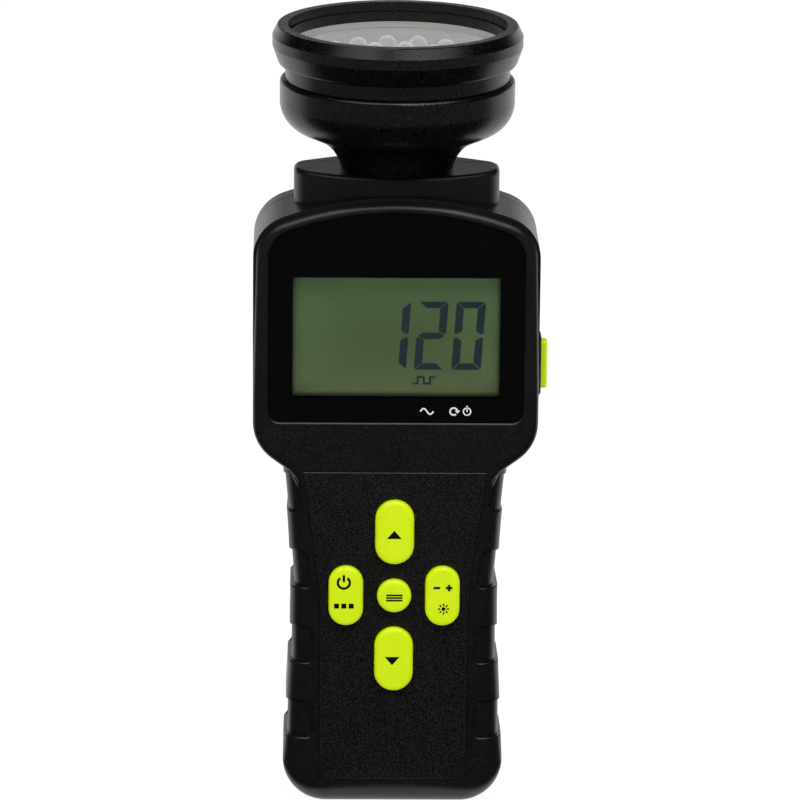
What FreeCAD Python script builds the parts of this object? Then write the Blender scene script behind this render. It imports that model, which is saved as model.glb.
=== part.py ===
"""Handheld LED stroboscope: a round lamp head on a neck, a display housing and a keypad grip.

Millimetres. +Z runs up the instrument from its heel, the display faces -Y and +X is to the
right of someone who reads it. The origin is on the flat heel, on the axis of the lamp head.
"""
import FreeCAD, Part
import math
import os

V = FreeCAD.Vector

# Case: outline seen from the front, depths along Y
FRONT_Y = -18.8              # front face
REAR_Y = 14.8                # rear face
SEAM_Y = 4.0                 # the two covers meet here
SHUT_GAP = 0.3               # visible line between them
TONGUE_H = 1.2               # height of the front cover's tongue inside the rear cover
TONGUE_T = 0.65              # it fills this much of the wall, play included
TONGUE_PLAY = 0.08
WALL = 2.2                   # side and rear walls
FRONT_WALL = 3.4             # the front wall carries the window and the overlay
CASE_HALF = 36.7             # half width of the display housing
CREST_Z = 163.15             # top of the arched housing
ARCH_R = 86.0
SHOULDER_R = 11.3
FLANK_Z = 97.9               # the flanks turn in towards the grip here
FLANK_R = 12.0
TUCK_HALF = 27.0             # where the turned-in flanks sink into the grip
TUCK_Z = 90.75
TUCK_R = 2.6
TUCK_SINK = 4.0              # how far the housing's lower edge runs into the grip
TUCK_DROP = 10.0
CASE_FRONT_R = 2.2
CASE_REAR_R = 4.5
BEAD_INSET = 1.0             # the raised bead round the window is this much smaller
BEAD_SIDE_INSET = 0.9
BEAD_FADE_Z = 112.75
BEAD_FLANK_R = 200.0
BEAD_LOW_Z = 104.75          # the step beside the bead starts here
LEDGE_Y = -16.3

# Grip
GRIP_WAIST = 26.3
GRIP_WAIST_Z = 61.75
GRIP_WAIST_R = 300.0
GRIP_TOP = 29.4
GRIP_TOP_Z = 96.75
HEEL_HALF = 29.3
HEEL_R = 11.3
GRIP_EDGE_R = 6.0
POCKET_Z = 19.0              # lower edge of the lowest finger pocket
POCKET_PITCH = 20.5
POCKET_H = 9.8
POCKET_DEPTHS = (0.85, 0.85, 0.6, 0.5)  # at the lower edge, from the lowest pocket up
POCKET_SHALLOW = 0.45        # depth at the upper edge and on the front face
POCKET_MARGIN = 1.85         # from the keypad overlay to the pocket
POCKET_BACK_Y = 12.5         # the pockets run out on the rear rounding before this
POCKET_R = 1.6
POCKET_TILT = 7.0            # degrees, how far the pockets sink towards the rear
POCKET_RUN = 5.0             # the floor is drawn this far past the pocket's edges

# Pedestal under the lamp head
PED_HALF = 26.4
PED_TOP_Z = 167.95
PED_FRONT = 14.75
PED_REAR = 14.3
PED_FRONT_R = 43.0
PED_REAR_R = 36.8
PED_FRONT_SLOPE = 31.0       # degrees, where each arc meets the ends
PED_REAR_SLOPE = 30.0
PED_FRONT_END_R = 7.5
PED_REAR_END_R = 5.5
PED_ROOT = 12.0              # how deep the pedestal runs into the housing
PED_ROOF = 3.0
PED_EDGE_R = 1.2

# Window and display
WIN_RIM = 3.0                # the bead's width beside the window
WIN_LOW_Z = 104.35
WIN_CREST_Z = 159.85
WIN_ARCH_R = 82.0
WIN_SHOULDER_R = 8.0
WIN_LOW_R = 3.1
WIN_SINK = 0.5               # the window lies this far behind the front face
WIN_BEVEL = 0.3              # on the rim round it
WIN_T = 1.8
LCD_Z = 126.85               # centre of the visible display
LCD_H = 33.2                 # opening in the front wall
LCD_MARGIN = 2.4             # from the opening's sides to the glass's edges
GLASS_H = 40.0
GLASS_T = 2.8
GLASS_SET = 0.5              # from the front wall to the display glass
FRAME_RIM = 3.0
BACKLIGHT_T = 2.4
STRIP_T = 2.2
STRIP_MARGIN = 4.0
FRAME_R = 1.0

# Keypad
OVER_HALF = 19.3
OVER_LOW_Z = 7.5
OVER_BEND_Z = 57.75
OVER_BEND_R = 120.0
OVER_TOP_HALF = 23.8
OVER_TOP_Z = 91.25
OVER_R = 2.1
OVER_SINK = 0.3
OVER_T = 0.5
OVER_BEVEL = 0.15
KEY_Z = 58.15                # the round key in the middle
KEY_PITCH_Z = 17.2
KEY_PITCH_X = 12.5
KEY_ROUND_D = 8.9
KEY_LONG_W = 10.05
KEY_LONG_H = 17.2
KEY_SIDE_W = 8.95
KEY_SIDE_H = 16.0
KEY_PROUD = 1.75
KEY_EDGE_R = 1.2
KEY_GAP = 0.25
KEY_LIP = 1.0
KEY_LIP_T = 1.0
KEY_TRAVEL = 0.8
KEY_STOP = 0.05              # left between a fully pressed key and its switch
STEM_R = 1.6
SWITCH_W = 6.0
SWITCH_H = 3.5
PLUNGER_R = 1.7
PLUNGER_H = 0.7

# Main board
BOARD_Y = -8.0               # its front face
BOARD_T = 1.6
BOARD_LOW_Z = 12.75
BOARD_NECK_Z = 102.75
BOARD_TOP_Z = 149.75
BOARD_GRIP_MARGIN = 2.1      # from the board's edge to the grip's wall
BOARD_PLAY = 0.2             # from its edge to the pressed side button
BOARD_R = 2.0
BOARD_NECK_RISE = 3.0
BOARD_POST_R = 2.4
BOARD_POSTS = ((20.0, 95.75), (14.0, 20.75))
BOARD_SCREW_R = 1.0
BOARD_SCREW_HEAD_R = 2.0
BOARD_SCREW_HEAD_T = 1.2
BOARD_SCREW_L = 5.5
BOSS_CLEAR = 0.4
ROOT = 0.2                   # how far a boss runs into its wall
CHIP_W = 14.0
CHIP_T = 1.4
CHIP_Z = 85.75

# Side button
SIDE_Z = 116.75
SIDE_Y = -4.65
SIDE_H = 12.8
SIDE_W = 3.8
SIDE_PROUD = 1.65
SIDE_TRAVEL = 0.8
SIDE_GAP = 0.2
SIDE_LIP = 0.7
SIDE_LIP_T = 0.9
SIDE_BASE_H = 16.6
SIDE_BASE_W = 7.4
SIDE_BASE_T = 0.9
SIDE_BODY_H = 15.0
SIDE_BODY_W = 6.0
SIDE_BASE_R = 2.0
SIDE_BODY_R = 1.4
SIDE_SLOT_R = 1.2
SIDE_R = 1.0
SIDE_EDGE_R = 0.7
SIDE_BEVEL = 0.6
SIDE_STEM_L = 1.2
SIDE_SWITCH_H = 3.5
SIDE_SWITCH_L = 4.0
SIDE_PLUNGER_R = 1.2

# Batteries
CELL_R = 7.25
CELL_L = 49.3
NUB_R = 2.75
NUB_L = 1.2
CELL_COUNT = 3
CELL_PITCH = 14.75
CELL_Z = 12.95               # lower end of the cells
CELL_Y = 4.85
CELL_EDGE_R = 0.5
CELL_GAP = 0.3               # from a cell to the bay's floor
BAY_PLAY = 0.4
BAY_WALL = 1.5
BAY_R = 1.0
BAY_RIB_T = 3.0
BAY_RIB_H = 2.0
CONTACT_T = 0.4
CONTACT_W = 10.0
CONTACT_D = 9.0
LEAF_TIP = 3.4               # the leaf's bent tip, from the cell's axis
LEAF_DROP = 1.6
SPRING_H = 3.8
DIMPLE_R = 2.0
LEAF_FLAT = 1.2              # half of the leaf's flat crest
DIMPLE_H = 0.9
DOOR_T = 2.2
DOOR_LAP = 0.7               # the door rests on this much of the bay's rim
DOOR_GAP = 0.25
DOOR_R = 3.0
DOOR_RIBS = 5
DOOR_RIB_PITCH = 2.6
DOOR_RIB_T = 0.6
DOOR_RIB_W = 20.0
DOOR_RIB_DROP = 6.0          # from the bay's upper end to the first groove

# Case screws and tripod socket
HOUSING_SCREWS = ((8.6, 152.95), (10.6, 100.25))  # inset from the housing's flank, height
GRIP_SCREWS = ((6.3, 75.75),)  # inset from the grip's waist, height
BOSS_FRONT_R = 3.0
BOSS_REAR_R = 4.0
SCREW_R = 1.25
SCREW_HOLE_R = 1.5
SCREW_HEAD_R = 2.4
SCREW_HEAD_T = 1.6
SCREW_SINK_R = 2.8
SCREW_SEAT_Y = 8.9
SCREW_L = 13.0
SCREW_BEVEL = 0.6
SLOT_L = 2.8
SLOT_W = 0.6
SLOT_T = 0.8
TRIPOD_Z = 97.75
TRIPOD_R = 2.6               # tapped 1/4 inch
TRIPOD_OUTER_R = 5.0
TRIPOD_L = 8.0
TRIPOD_BOSS_R = 7.5
TRIPOD_BOSS_T = 1.2

# Driver board behind the display
DRIVER_Y = 1.0
DRIVER_T = 1.6
DRIVER_HALF = 26.0
DRIVER_LOW_Z = 108.75
DRIVER_TOP_Z = 149.75
DRIVER_POSTS = ((22.0, 112.75), (22.0, 145.75))
CAP_R = 4.8
CAP_L = 22.0
CAP_Z = 134.75
COIL_R = 5.5
COIL_H = 5.0
COIL_X = -12.0
COIL_Z = 120.75
LINK_W = 18.0
LINK_H = 2.6
LINK_Z = 112.75
PLUG_W = 8.0
PLUG_H = 7.0
PLUG_D = 4.0

# Lamp head, turned about Z
NECK_R = 14.4
NECK_LEAN = 14.4             # degrees from upright, at the foot of the neck
NECK_ARC_R = 11.8
FLARE_LEAN = 65.5            # degrees from upright, where the neck runs into the bowl
BOWL_ARC_R = 8.2
BOWL_MARGIN = 1.95           # from the ring's band in to the bowl
STEM_OUTER_R = 8.0
STEM_BORE_R = 4.5
STEM_LOW_Z = 155.75
BOWL_RIM_Z = 190.95
BOWL_RIM_R = 0.9
BOWL_LEDGE_Z = 186.95
BOWL_WALL = 1.95             # the board's ledge inside it
BOWL_FLOOR_Z = 181.25
BOWL_FLOOR_TURN = 5.0        # from the cavity's side in to its flat floor
BOWL_TAPER = 0.8
BOWL_TAPER_Z = 183.95
RING_R = 32.05
RING_TOP_Z = 204.9
RING_BEVEL_Z = 202.25
RING_BEVEL = 1.35
RING_BAND_Z = 199.65
RING_CONE = 1.7              # the cone under the band narrows by this
RING_LOW_Z = 194.75
RING_LOW_EDGE_R = 1.4
RING_EDGE_R = 0.3
RING_RIM = 4.05              # from its outside in to the lens
COLLAR_INSET = 3.3           # smooth part of the ring above the bowl's rim
COLLAR_GAP = 0.3
SLEEVE_STEP = 0.2            # the threaded part inside the bowl is wider than the lens by this
SLEEVE_WALL = 1.8
THREAD_GAP = 0.05
LENS_Z = 198.35
LENS_T = 1.5
GASKET_T = 0.5
RETAINER_TOP_Z = 202.45
RETAINER_T = 0.5
RETAINER_GAP = 0.03
LINER_T = 0.8
SLIP = 0.1
LED_BOARD_T = 1.6
LED_R = 2.5
LED_H = 9.1
LED_FLANGE_R = 2.9
LED_FLANGE_T = 1.0
LED_COUNTS = (4, 10, 16)
LED_INNER_R = 5.2            # the innermost of evenly stepped rings
LED_MARGIN = 5.0             # from the liner in to the outermost ring
LED_FIRST_ANGLES = (45.0, 8.0, 6.7)
WASHER_R = 10.5
WASHER_T = 1.0
NUT_AF = 21.0
NUT_T = 5.5
WIRE_R = 0.8
WIRE_X = 1.6
WIRE_Y = -1.2
PLUG_TOP_Z = 146.75

FAR = 60.0                   # reaches past the case on every side

# Sizes that follow from the ones above
WIN_HALF = CASE_HALF - BEAD_SIDE_INSET - WIN_RIM
BOARD_CASE_HALF = CASE_HALF - WALL - SIDE_LIP_T - SIDE_TRAVEL - BOARD_PLAY
BOARD_GRIP_HALF = GRIP_WAIST - WALL - BOARD_GRIP_MARGIN
GLASS_W = 2 * (BOARD_CASE_HALF - FRAME_RIM)
LCD_W = GLASS_W - 2 * LCD_MARGIN
RING_LOW_R = RING_R - RING_CONE
RING_OPENING_R = RING_R - RING_RIM
COLLAR_R = RING_R - COLLAR_INSET
SLEEVE_R = RING_OPENING_R + SLEEVE_STEP
SLEEVE_BORE_R = SLEEVE_R - SLEEVE_WALL
BOWL_R = RING_R - BOWL_MARGIN
BOWL_BORE_R = SLEEVE_R + THREAD_GAP
BOWL_CAVITY_R = BOWL_BORE_R - BOWL_WALL
BOWL_FLOOR_R = BOWL_CAVITY_R - BOWL_FLOOR_TURN
LINER_BORE_R = SLEEVE_BORE_R - SLIP - LINER_T
CASE_SCREWS = [(CASE_HALF - inset_x, z) for inset_x, z in HOUSING_SCREWS]
CASE_SCREWS += [(GRIP_WAIST - inset_x, z) for inset_x, z in GRIP_SCREWS]


# ---------- outlines and simple forms ----------

def front_view(y):
    """Places outline points (x, z) on the plane at y."""
    return lambda u, v: V(u, y, v)


def plan_view(z):
    """Places outline points (x, y) on the plane at z."""
    return lambda u, v: V(u, v, z)


def side_view(x):
    """Places outline points (y, z) on the plane at x."""
    return lambda u, v: V(x, u, v)


def corner_frame(corners, i):
    """Unit vectors from a corner to its neighbours, their mean and half the angle between them."""
    here = V(corners[i][0], corners[i][1], 0)
    before = V(corners[i - 1][0], corners[i - 1][1], 0)
    after = V(corners[(i + 1) % len(corners)][0], corners[(i + 1) % len(corners)][1], 0)
    to_before = (before - here).normalize()
    to_after = (after - here).normalize()
    middle = (to_before + to_after).normalize()
    half = to_before.getAngle(to_after) / 2
    return here, to_before, to_after, middle, half


def rounded_wire(corners, place):
    """Closed wire through corners (u, v, radius), each rounded by its radius."""
    joins = []
    for i, (_, _, radius) in enumerate(corners):
        here, to_before, to_after, middle, half = corner_frame(corners, i)
        reach = radius / math.tan(half)
        mid = here + middle * (radius / math.sin(half) - radius)
        joins.append((here + to_before * reach, mid, here + to_after * reach, radius))
    edges = []
    for i, (start, mid, end, radius) in enumerate(joins):
        if radius > 0:
            arc = Part.Arc(place(start.x, start.y), place(mid.x, mid.y), place(end.x, end.y))
            edges.append(arc.toShape())
        following = joins[(i + 1) % len(joins)][0]
        if (following - end).Length > 1e-4:
            edges.append(Part.makeLine(place(end.x, end.y), place(following.x, following.y)))
    return Part.Wire(edges)


def inset(corners, depth):
    """The outline moved inwards by depth; corners run anticlockwise."""
    moved = []
    for i, (u, v, radius) in enumerate(corners):
        here, to_before, to_after, middle, half = corner_frame(corners, i)
        convex = to_after.cross(to_before).z > 0
        side = 1 if convex else -1
        point = here + middle * (side * depth / math.sin(half))
        moved.append((point.x, point.y, max(radius - side * depth, 0) if radius else 0))
    return moved


def mirrored(right, top=()):
    """Right-hand corners from the bottom up, the corners on the axis, then the left-hand ones."""
    left = [(-u, v, radius) for u, v, radius in reversed(right)]
    return list(right) + list(top) + left


def rectangle(width, height, radius=0.0, centre=(0.0, 0.0)):
    u, v = centre
    half_w = width / 2
    half_h = height / 2
    signs = ((1, -1), (1, 1), (-1, 1), (-1, -1))
    return [(u + a * half_w, v + b * half_h, radius) for a, b in signs]


def prism(corners, y0, y1):
    return Part.Face(rounded_wire(corners, front_view(y0))).extrude(V(0, y1 - y0, 0))


def upright(corners, z0, z1):
    return Part.Face(rounded_wire(corners, plan_view(z0))).extrude(V(0, 0, z1 - z0))


def sideways(corners, x0, x1):
    return Part.Face(rounded_wire(corners, side_view(x0))).extrude(V(x1 - x0, 0, 0))


def block(x0, x1, y0, y1, z0, z1):
    return Part.makeBox(x1 - x0, y1 - y0, z1 - z0, V(x0, y0, z0))


def rod_y(x, z, radius, y0, y1):
    return Part.makeCylinder(radius, y1 - y0, V(x, y0, z), V(0, 1, 0))


def rod_x(y, z, radius, x0, x1):
    return Part.makeCylinder(radius, x1 - x0, V(x0, y, z), V(1, 0, 0))


def rod_z(x, y, radius, z0, z1):
    return Part.makeCylinder(radius, z1 - z0, V(x, y, z0))


def fused(shapes):
    return shapes[0].fuse(shapes[1:]).removeSplitter()


def edges_at(shape, test):
    """Edges whose two ends and middle all pass the test."""
    picked = []
    for edge in shape.Edges:
        points = [vertex.Point for vertex in edge.Vertexes]
        points.append(edge.valueAt((edge.FirstParameter + edge.LastParameter) / 2))
        if all(test(point) for point in points):
            picked.append(edge)
    return picked


def round_front(solid, y, radius, below=FAR * 4):
    return solid.makeFillet(radius, edges_at(solid, lambda p: abs(p.y - y) < 1e-4 and p.z < below))


def both_sides(points):
    return [(side * x, z) for x, z in points for side in (-1, 1)]


def turned(points):
    """Solid of revolution about Z through closed profile points (r, z)."""
    corners = [V(r, 0, z) for r, z in points]
    return Part.Face(Part.makePolygon(corners + corners[:1])).revolve(V(0, 0, 0), V(0, 0, 1), 360)


# ---------- case ----------

def arch(half, crest, radius, shoulder_radius):
    """Shoulder corner and apex of an arched top whose arcs run into each other."""
    slope = math.asin((half - shoulder_radius) / (radius - shoulder_radius))
    apex = crest + radius * (1 / math.cos(slope) - 1)
    shoulder = (half, apex - half * math.tan(slope), shoulder_radius)
    return shoulder, (0.0, apex, radius)


def case_outline():
    shoulder, apex = arch(CASE_HALF, CREST_Z, ARCH_R, SHOULDER_R)
    sink = (TUCK_HALF - TUCK_SINK, TUCK_Z - TUCK_DROP, 0)
    return mirrored([sink, (TUCK_HALF, TUCK_Z, TUCK_R), (CASE_HALF, FLANK_Z, FLANK_R), shoulder], [apex])


def bead_outline():
    half = CASE_HALF - BEAD_SIDE_INSET
    shoulder, apex = arch(half, CREST_Z - BEAD_INSET, ARCH_R - BEAD_INSET, SHOULDER_R - BEAD_INSET)
    low = (CASE_HALF, FLANK_Z, 0)
    return mirrored([low, (CASE_HALF, BEAD_FADE_Z, BEAD_FLANK_R), shoulder], [apex])


def grip_outline():
    return mirrored([(HEEL_HALF, 0.0, HEEL_R), (GRIP_WAIST, GRIP_WAIST_Z, GRIP_WAIST_R),
                     (GRIP_TOP, GRIP_TOP_Z, 0)])


def pedestal_plan():
    """Outline from above: a pointed front arc, short flat ends and a flatter rear arc."""
    front_slope = math.radians(PED_FRONT_SLOPE)
    rear_slope = math.radians(PED_REAR_SLOPE)
    front_apex = PED_FRONT + PED_FRONT_R * (1 / math.cos(front_slope) - 1)
    rear_apex = PED_REAR + PED_REAR_R * (1 / math.cos(rear_slope) - 1)
    front_end = front_apex - PED_HALF * math.tan(front_slope)
    rear_end = rear_apex - PED_HALF * math.tan(rear_slope)
    front = [(0.0, -front_apex, PED_FRONT_R), (PED_HALF, -front_end, PED_FRONT_END_R)]
    rear = [(PED_HALF, rear_end, PED_REAR_END_R), (0.0, rear_apex, PED_REAR_R)]
    left = [(-PED_HALF, rear_end, PED_REAR_END_R), (-PED_HALF, -front_end, PED_FRONT_END_R)]
    return front + rear + left


def grip_half_at(z):
    """Half width of the grip's straight sides at height z."""
    if z > GRIP_WAIST_Z:
        share = (z - GRIP_WAIST_Z) / (GRIP_TOP_Z - GRIP_WAIST_Z)
        return GRIP_WAIST + share * (GRIP_TOP - GRIP_WAIST)
    return GRIP_WAIST + (GRIP_WAIST_Z - z) / GRIP_WAIST_Z * (HEEL_HALF - GRIP_WAIST)


def case_block(depth, front_wall):
    block_front = FRONT_Y + front_wall
    block_rear = REAR_Y - depth
    solid = prism(inset(case_outline(), depth), block_front, block_rear)
    solid = round_front(solid, block_rear, CASE_REAR_R - depth)
    if depth == 0:
        solid = round_front(solid, block_front, CASE_FRONT_R)
    return solid


def grip_block(depth, front_wall):
    block_front = FRONT_Y + front_wall
    block_rear = REAR_Y - depth
    top = GRIP_TOP_Z - depth - 0.5
    solid = prism(inset(grip_outline(), depth), block_front, block_rear)
    solid = round_front(solid, block_rear, GRIP_EDGE_R - depth, below=top)
    return round_front(solid, block_front, GRIP_EDGE_R - front_wall, below=top)


def overlay_half_at(z):
    """Half width of the keypad overlay at height z."""
    share = max(z - OVER_BEND_Z, 0) / (OVER_TOP_Z - OVER_BEND_Z)
    return OVER_HALF + share * (OVER_TOP_HALF - OVER_HALF)


def finger_pocket(index, side):
    """Cutter for one shallow pocket that wraps from the flat side onto the front face."""
    low = POCKET_Z + index * POCKET_PITCH
    high = low + POCKET_H
    inner_low = overlay_half_at(low) + POCKET_MARGIN
    inner_high = overlay_half_at(high) + POCKET_MARGIN
    window = prism([(inner_low, low, POCKET_R), (FAR, low, 0), (FAR, high, 0), (inner_high, high, POCKET_R)],
                   FRONT_Y - 1, POCKET_BACK_Y)
    window = window.makeFillet(POCKET_R, edges_at(
        window, lambda p: abs(p.y - POCKET_BACK_Y) < 1e-4 and min(abs(p.z - low), abs(p.z - high)) < 1e-4))
    window.rotate(V(0, FRONT_Y, low), V(1, 0, 0), -POCKET_TILT)
    floor_front = FRONT_Y + POCKET_SHALLOW
    floor_low = grip_half_at(low) - POCKET_DEPTHS[index]
    floor_high = grip_half_at(high) - POCKET_SHALLOW
    lean = (floor_high - floor_low) / POCKET_H
    bottom = low - POCKET_RUN
    top = high + POCKET_RUN
    floor = prism([(0, bottom, 0), (floor_low - POCKET_RUN * lean, bottom, 0),
                   (floor_high + POCKET_RUN * lean, top, 0), (0, top, 0)], floor_front, REAR_Y)
    outer = edges_at(floor, lambda p: abs(p.y - floor_front) < 1e-4 and p.x > 1.0)
    outer = [edge for edge in outer if abs(edge.Vertexes[0].Point.z - edge.Vertexes[1].Point.z) > 1.0]
    floor = floor.makeFillet(GRIP_EDGE_R - POCKET_SHALLOW, outer)
    cutter = window.cut(floor)
    if side < 0:
        cutter = cutter.mirror(V(0, 0, 0), V(1, 0, 0))
    return cutter


def pedestal(depth, roof):
    solid = upright(inset(pedestal_plan(), depth), CREST_Z - PED_ROOT, PED_TOP_Z - roof)
    if depth == 0:
        solid = solid.makeFillet(PED_EDGE_R, edges_at(solid, lambda p: abs(p.z - PED_TOP_Z) < 1e-4))
    return solid


def outer_form():
    grip = grip_block(0.0, 0.0)
    pockets = [finger_pocket(i, side) for i in range(len(POCKET_DEPTHS)) for side in (-1, 1)]
    grip = grip.cut(pockets)
    body = fused([case_block(0.0, 0.0), grip, pedestal(0.0, 0.0)])
    bead = round_front(prism(bead_outline(), SEAM_Y, FRONT_Y), FRONT_Y, CASE_FRONT_R)
    bead_zone = block(-FAR, FAR, -FAR, LEDGE_Y, BEAD_LOW_Z, FAR * 4)
    return body.cut(bead_zone.cut(bead))


def inset_form(depth, front_wall, roof):
    """The plain case moved inwards by these depths."""
    return fused([case_block(depth, front_wall), grip_block(depth, front_wall), pedestal(depth, roof)])


def seam_core(play, y0):
    """What fills the rear cover's rebate: the inner part of the walls and all between them."""
    core = inset_form(WALL - TONGUE_T + play, FRONT_WALL / 2, PED_ROOF / 2 + play)
    return core.common(block(-FAR, FAR, y0, SEAM_Y + TONGUE_H - play, -FAR, FAR * 4))


def halves(solid):
    front = solid.common(block(-FAR, FAR, -FAR, SEAM_Y, -FAR, FAR * 4))
    rear = solid.common(block(-FAR, FAR, SEAM_Y, FAR, -FAR, FAR * 4))
    return front, rear


# ---------- keys ----------

KEY_PLACES = {
    "key_up": (0.0, KEY_Z + KEY_PITCH_Z, KEY_LONG_W, KEY_LONG_H),
    "key_down": (0.0, KEY_Z - KEY_PITCH_Z, KEY_LONG_W, KEY_LONG_H),
    "key_power": (-KEY_PITCH_X, KEY_Z, KEY_SIDE_W, KEY_SIDE_H),
    "key_fine": (KEY_PITCH_X, KEY_Z, KEY_SIDE_W, KEY_SIDE_H),
    "key_function": (0.0, KEY_Z, KEY_ROUND_D, KEY_ROUND_D),
}
KEY_BACK_Y = FRONT_Y + FRONT_WALL
KEY_FACE_Y = FRONT_Y + OVER_SINK - OVER_T - KEY_PROUD
PLUNGER_Y = BOARD_Y - SWITCH_H - PLUNGER_H
STEM_END_Y = PLUNGER_Y - KEY_TRAVEL - KEY_STOP


def key_shape(name, grow, y0, y1):
    """Round-ended prism of a key's outline, grown all round by grow."""
    x, z, width, height = KEY_PLACES[name]
    if width == height:
        return rod_y(x, z, width / 2 + grow, y0, y1)
    corners = rectangle(width + 2 * grow, height + 2 * grow, (width + 2 * grow) / 2 - 1e-3, (x, z))
    return prism(corners, y0, y1)


def key(name):
    x, z, _, _ = KEY_PLACES[name]
    cap = key_shape(name, 0.0, KEY_FACE_Y, KEY_BACK_Y)
    cap = round_front(cap, KEY_FACE_Y, KEY_EDGE_R)
    lip = key_shape(name, KEY_LIP, KEY_BACK_Y, KEY_BACK_Y + KEY_LIP_T)
    stem = rod_y(x, z, STEM_R, KEY_BACK_Y + KEY_LIP_T, STEM_END_Y)
    return fused([cap, lip, stem])


def key_switch(name):
    x, z, _, _ = KEY_PLACES[name]
    half = SWITCH_W / 2
    body = block(x - half, x + half, BOARD_Y - SWITCH_H, BOARD_Y, z - half, z + half)
    return fused([body, rod_y(x, z, PLUNGER_R, PLUNGER_Y, BOARD_Y - SWITCH_H)])


def key_overlay():
    corners = mirrored([(OVER_HALF, OVER_LOW_Z, OVER_R), (OVER_HALF, OVER_BEND_Z, OVER_BEND_R),
                        (OVER_TOP_HALF, OVER_TOP_Z, 0)])
    return corners


def overlay():
    floor = FRONT_Y + OVER_SINK
    sheet = prism(inset(key_overlay(), SLIP), floor - OVER_T, floor)
    sheet = sheet.makeChamfer(OVER_BEVEL, edges_at(sheet, lambda p: p.y < floor - OVER_T + 1e-4))
    return sheet.cut([key_shape(name, KEY_GAP, floor - 1, floor + 1) for name in KEY_PLACES])


# ---------- display ----------

WIN_BACK_Y = FRONT_Y + WIN_SINK + WIN_T
GLASS_Y = FRONT_Y + FRONT_WALL + GLASS_SET


def window_outline():
    shoulder, apex = arch(WIN_HALF, WIN_CREST_Z, WIN_ARCH_R, WIN_SHOULDER_R)
    return mirrored([(WIN_HALF, WIN_LOW_Z, WIN_LOW_R), shoulder], [apex])


def window_bevel():
    """Cutter that flares the mouth of the window's seat."""
    near = rounded_wire(inset(window_outline(), -2 * WIN_BEVEL), front_view(FRONT_Y - WIN_BEVEL))
    deep = rounded_wire(window_outline(), front_view(FRONT_Y + WIN_BEVEL))
    return Part.makeLoft([near, deep], True, True)


def display_window():
    return prism(inset(window_outline(), SLIP), WIN_BACK_Y - WIN_T, WIN_BACK_Y)


def display_glass():
    return prism(rectangle(GLASS_W, GLASS_H, 0.0, (0.0, LCD_Z)), GLASS_Y, GLASS_Y + GLASS_T)


def display_frame():
    """Holder that stands on the board and boxes in the glass."""
    outer = rectangle(GLASS_W + 2 * FRAME_RIM, GLASS_H + 2 * FRAME_RIM, FRAME_R, (0.0, LCD_Z))
    inner = rectangle(GLASS_W + 2 * SLIP, GLASS_H + 2 * SLIP, 0.0, (0.0, LCD_Z))
    sight = rectangle(LCD_W, LCD_H, 0.0, (0.0, LCD_Z))
    frame_front = FRONT_Y + FRONT_WALL
    body = prism(outer, frame_front, BOARD_Y).cut(prism(inner, GLASS_Y, BOARD_Y))
    return body.cut(prism(sight, frame_front - 1, GLASS_Y + 1))


def backlight():
    low = LCD_Z - GLASS_H / 2 + 2 * STRIP_T
    high = LCD_Z + GLASS_H / 2
    y0 = GLASS_Y + GLASS_T
    return block(-GLASS_W / 2, GLASS_W / 2, y0, y0 + BACKLIGHT_T, low, high)


def contact_strip():
    low = LCD_Z - GLASS_H / 2 + STRIP_T / 2
    half = GLASS_W / 2 - STRIP_MARGIN
    return block(-half, half, GLASS_Y + GLASS_T, BOARD_Y, low, low + STRIP_T)


# ---------- boards ----------

def main_board():
    corners = mirrored([(BOARD_GRIP_HALF, BOARD_LOW_Z, BOARD_R), (BOARD_GRIP_HALF, BOARD_NECK_Z, 0),
                        (BOARD_CASE_HALF, BOARD_NECK_Z + BOARD_NECK_RISE, BOARD_R),
                        (BOARD_CASE_HALF, BOARD_TOP_Z, BOARD_R)])
    board = prism(corners, BOARD_Y, BOARD_Y + BOARD_T)
    holes = [rod_y(x, z, BOARD_SCREW_R + SLIP, -FAR, FAR) for x, z in both_sides(BOARD_POSTS)]
    holes += [rod_y(x, z, BOSS_FRONT_R + BOSS_CLEAR, -FAR, FAR) for x, z in both_sides(CASE_SCREWS)]
    return board.cut(holes)


def board_screw(x, z, seat, direction):
    """Small pan-head screw whose head rests at seat and whose shank runs along direction."""
    axis = V(0, direction, 0)
    head = Part.makeCylinder(BOARD_SCREW_HEAD_R, BOARD_SCREW_HEAD_T, V(x, seat, z), axis * -1)
    shank = Part.makeCylinder(BOARD_SCREW_R, BOARD_SCREW_L, V(x, seat, z), axis)
    return fused([head, shank])


def controller_chip():
    back = BOARD_Y + BOARD_T
    return prism(rectangle(CHIP_W, CHIP_W, 0.0, (0.0, CHIP_Z)), back, back + CHIP_T)


def driver_board():
    corners = mirrored([(DRIVER_HALF, DRIVER_LOW_Z, BOARD_R), (DRIVER_HALF, DRIVER_TOP_Z, BOARD_R)])
    board = prism(corners, DRIVER_Y, DRIVER_Y + DRIVER_T)
    return board.cut([rod_y(x, z, BOARD_SCREW_R + SLIP, -FAR, FAR) for x, z in both_sides(DRIVER_POSTS)])


def board_link():
    """Pin strip that joins the two boards."""
    return prism(rectangle(LINK_W, LINK_H, 0.0, (0.0, LINK_Z)), BOARD_Y + BOARD_T, DRIVER_Y)


def wire_plug():
    return prism(rectangle(PLUG_W, PLUG_H, 0.0, (0.0, PLUG_TOP_Z - PLUG_H / 2)), DRIVER_Y - PLUG_D, DRIVER_Y)


# ---------- batteries ----------

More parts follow.
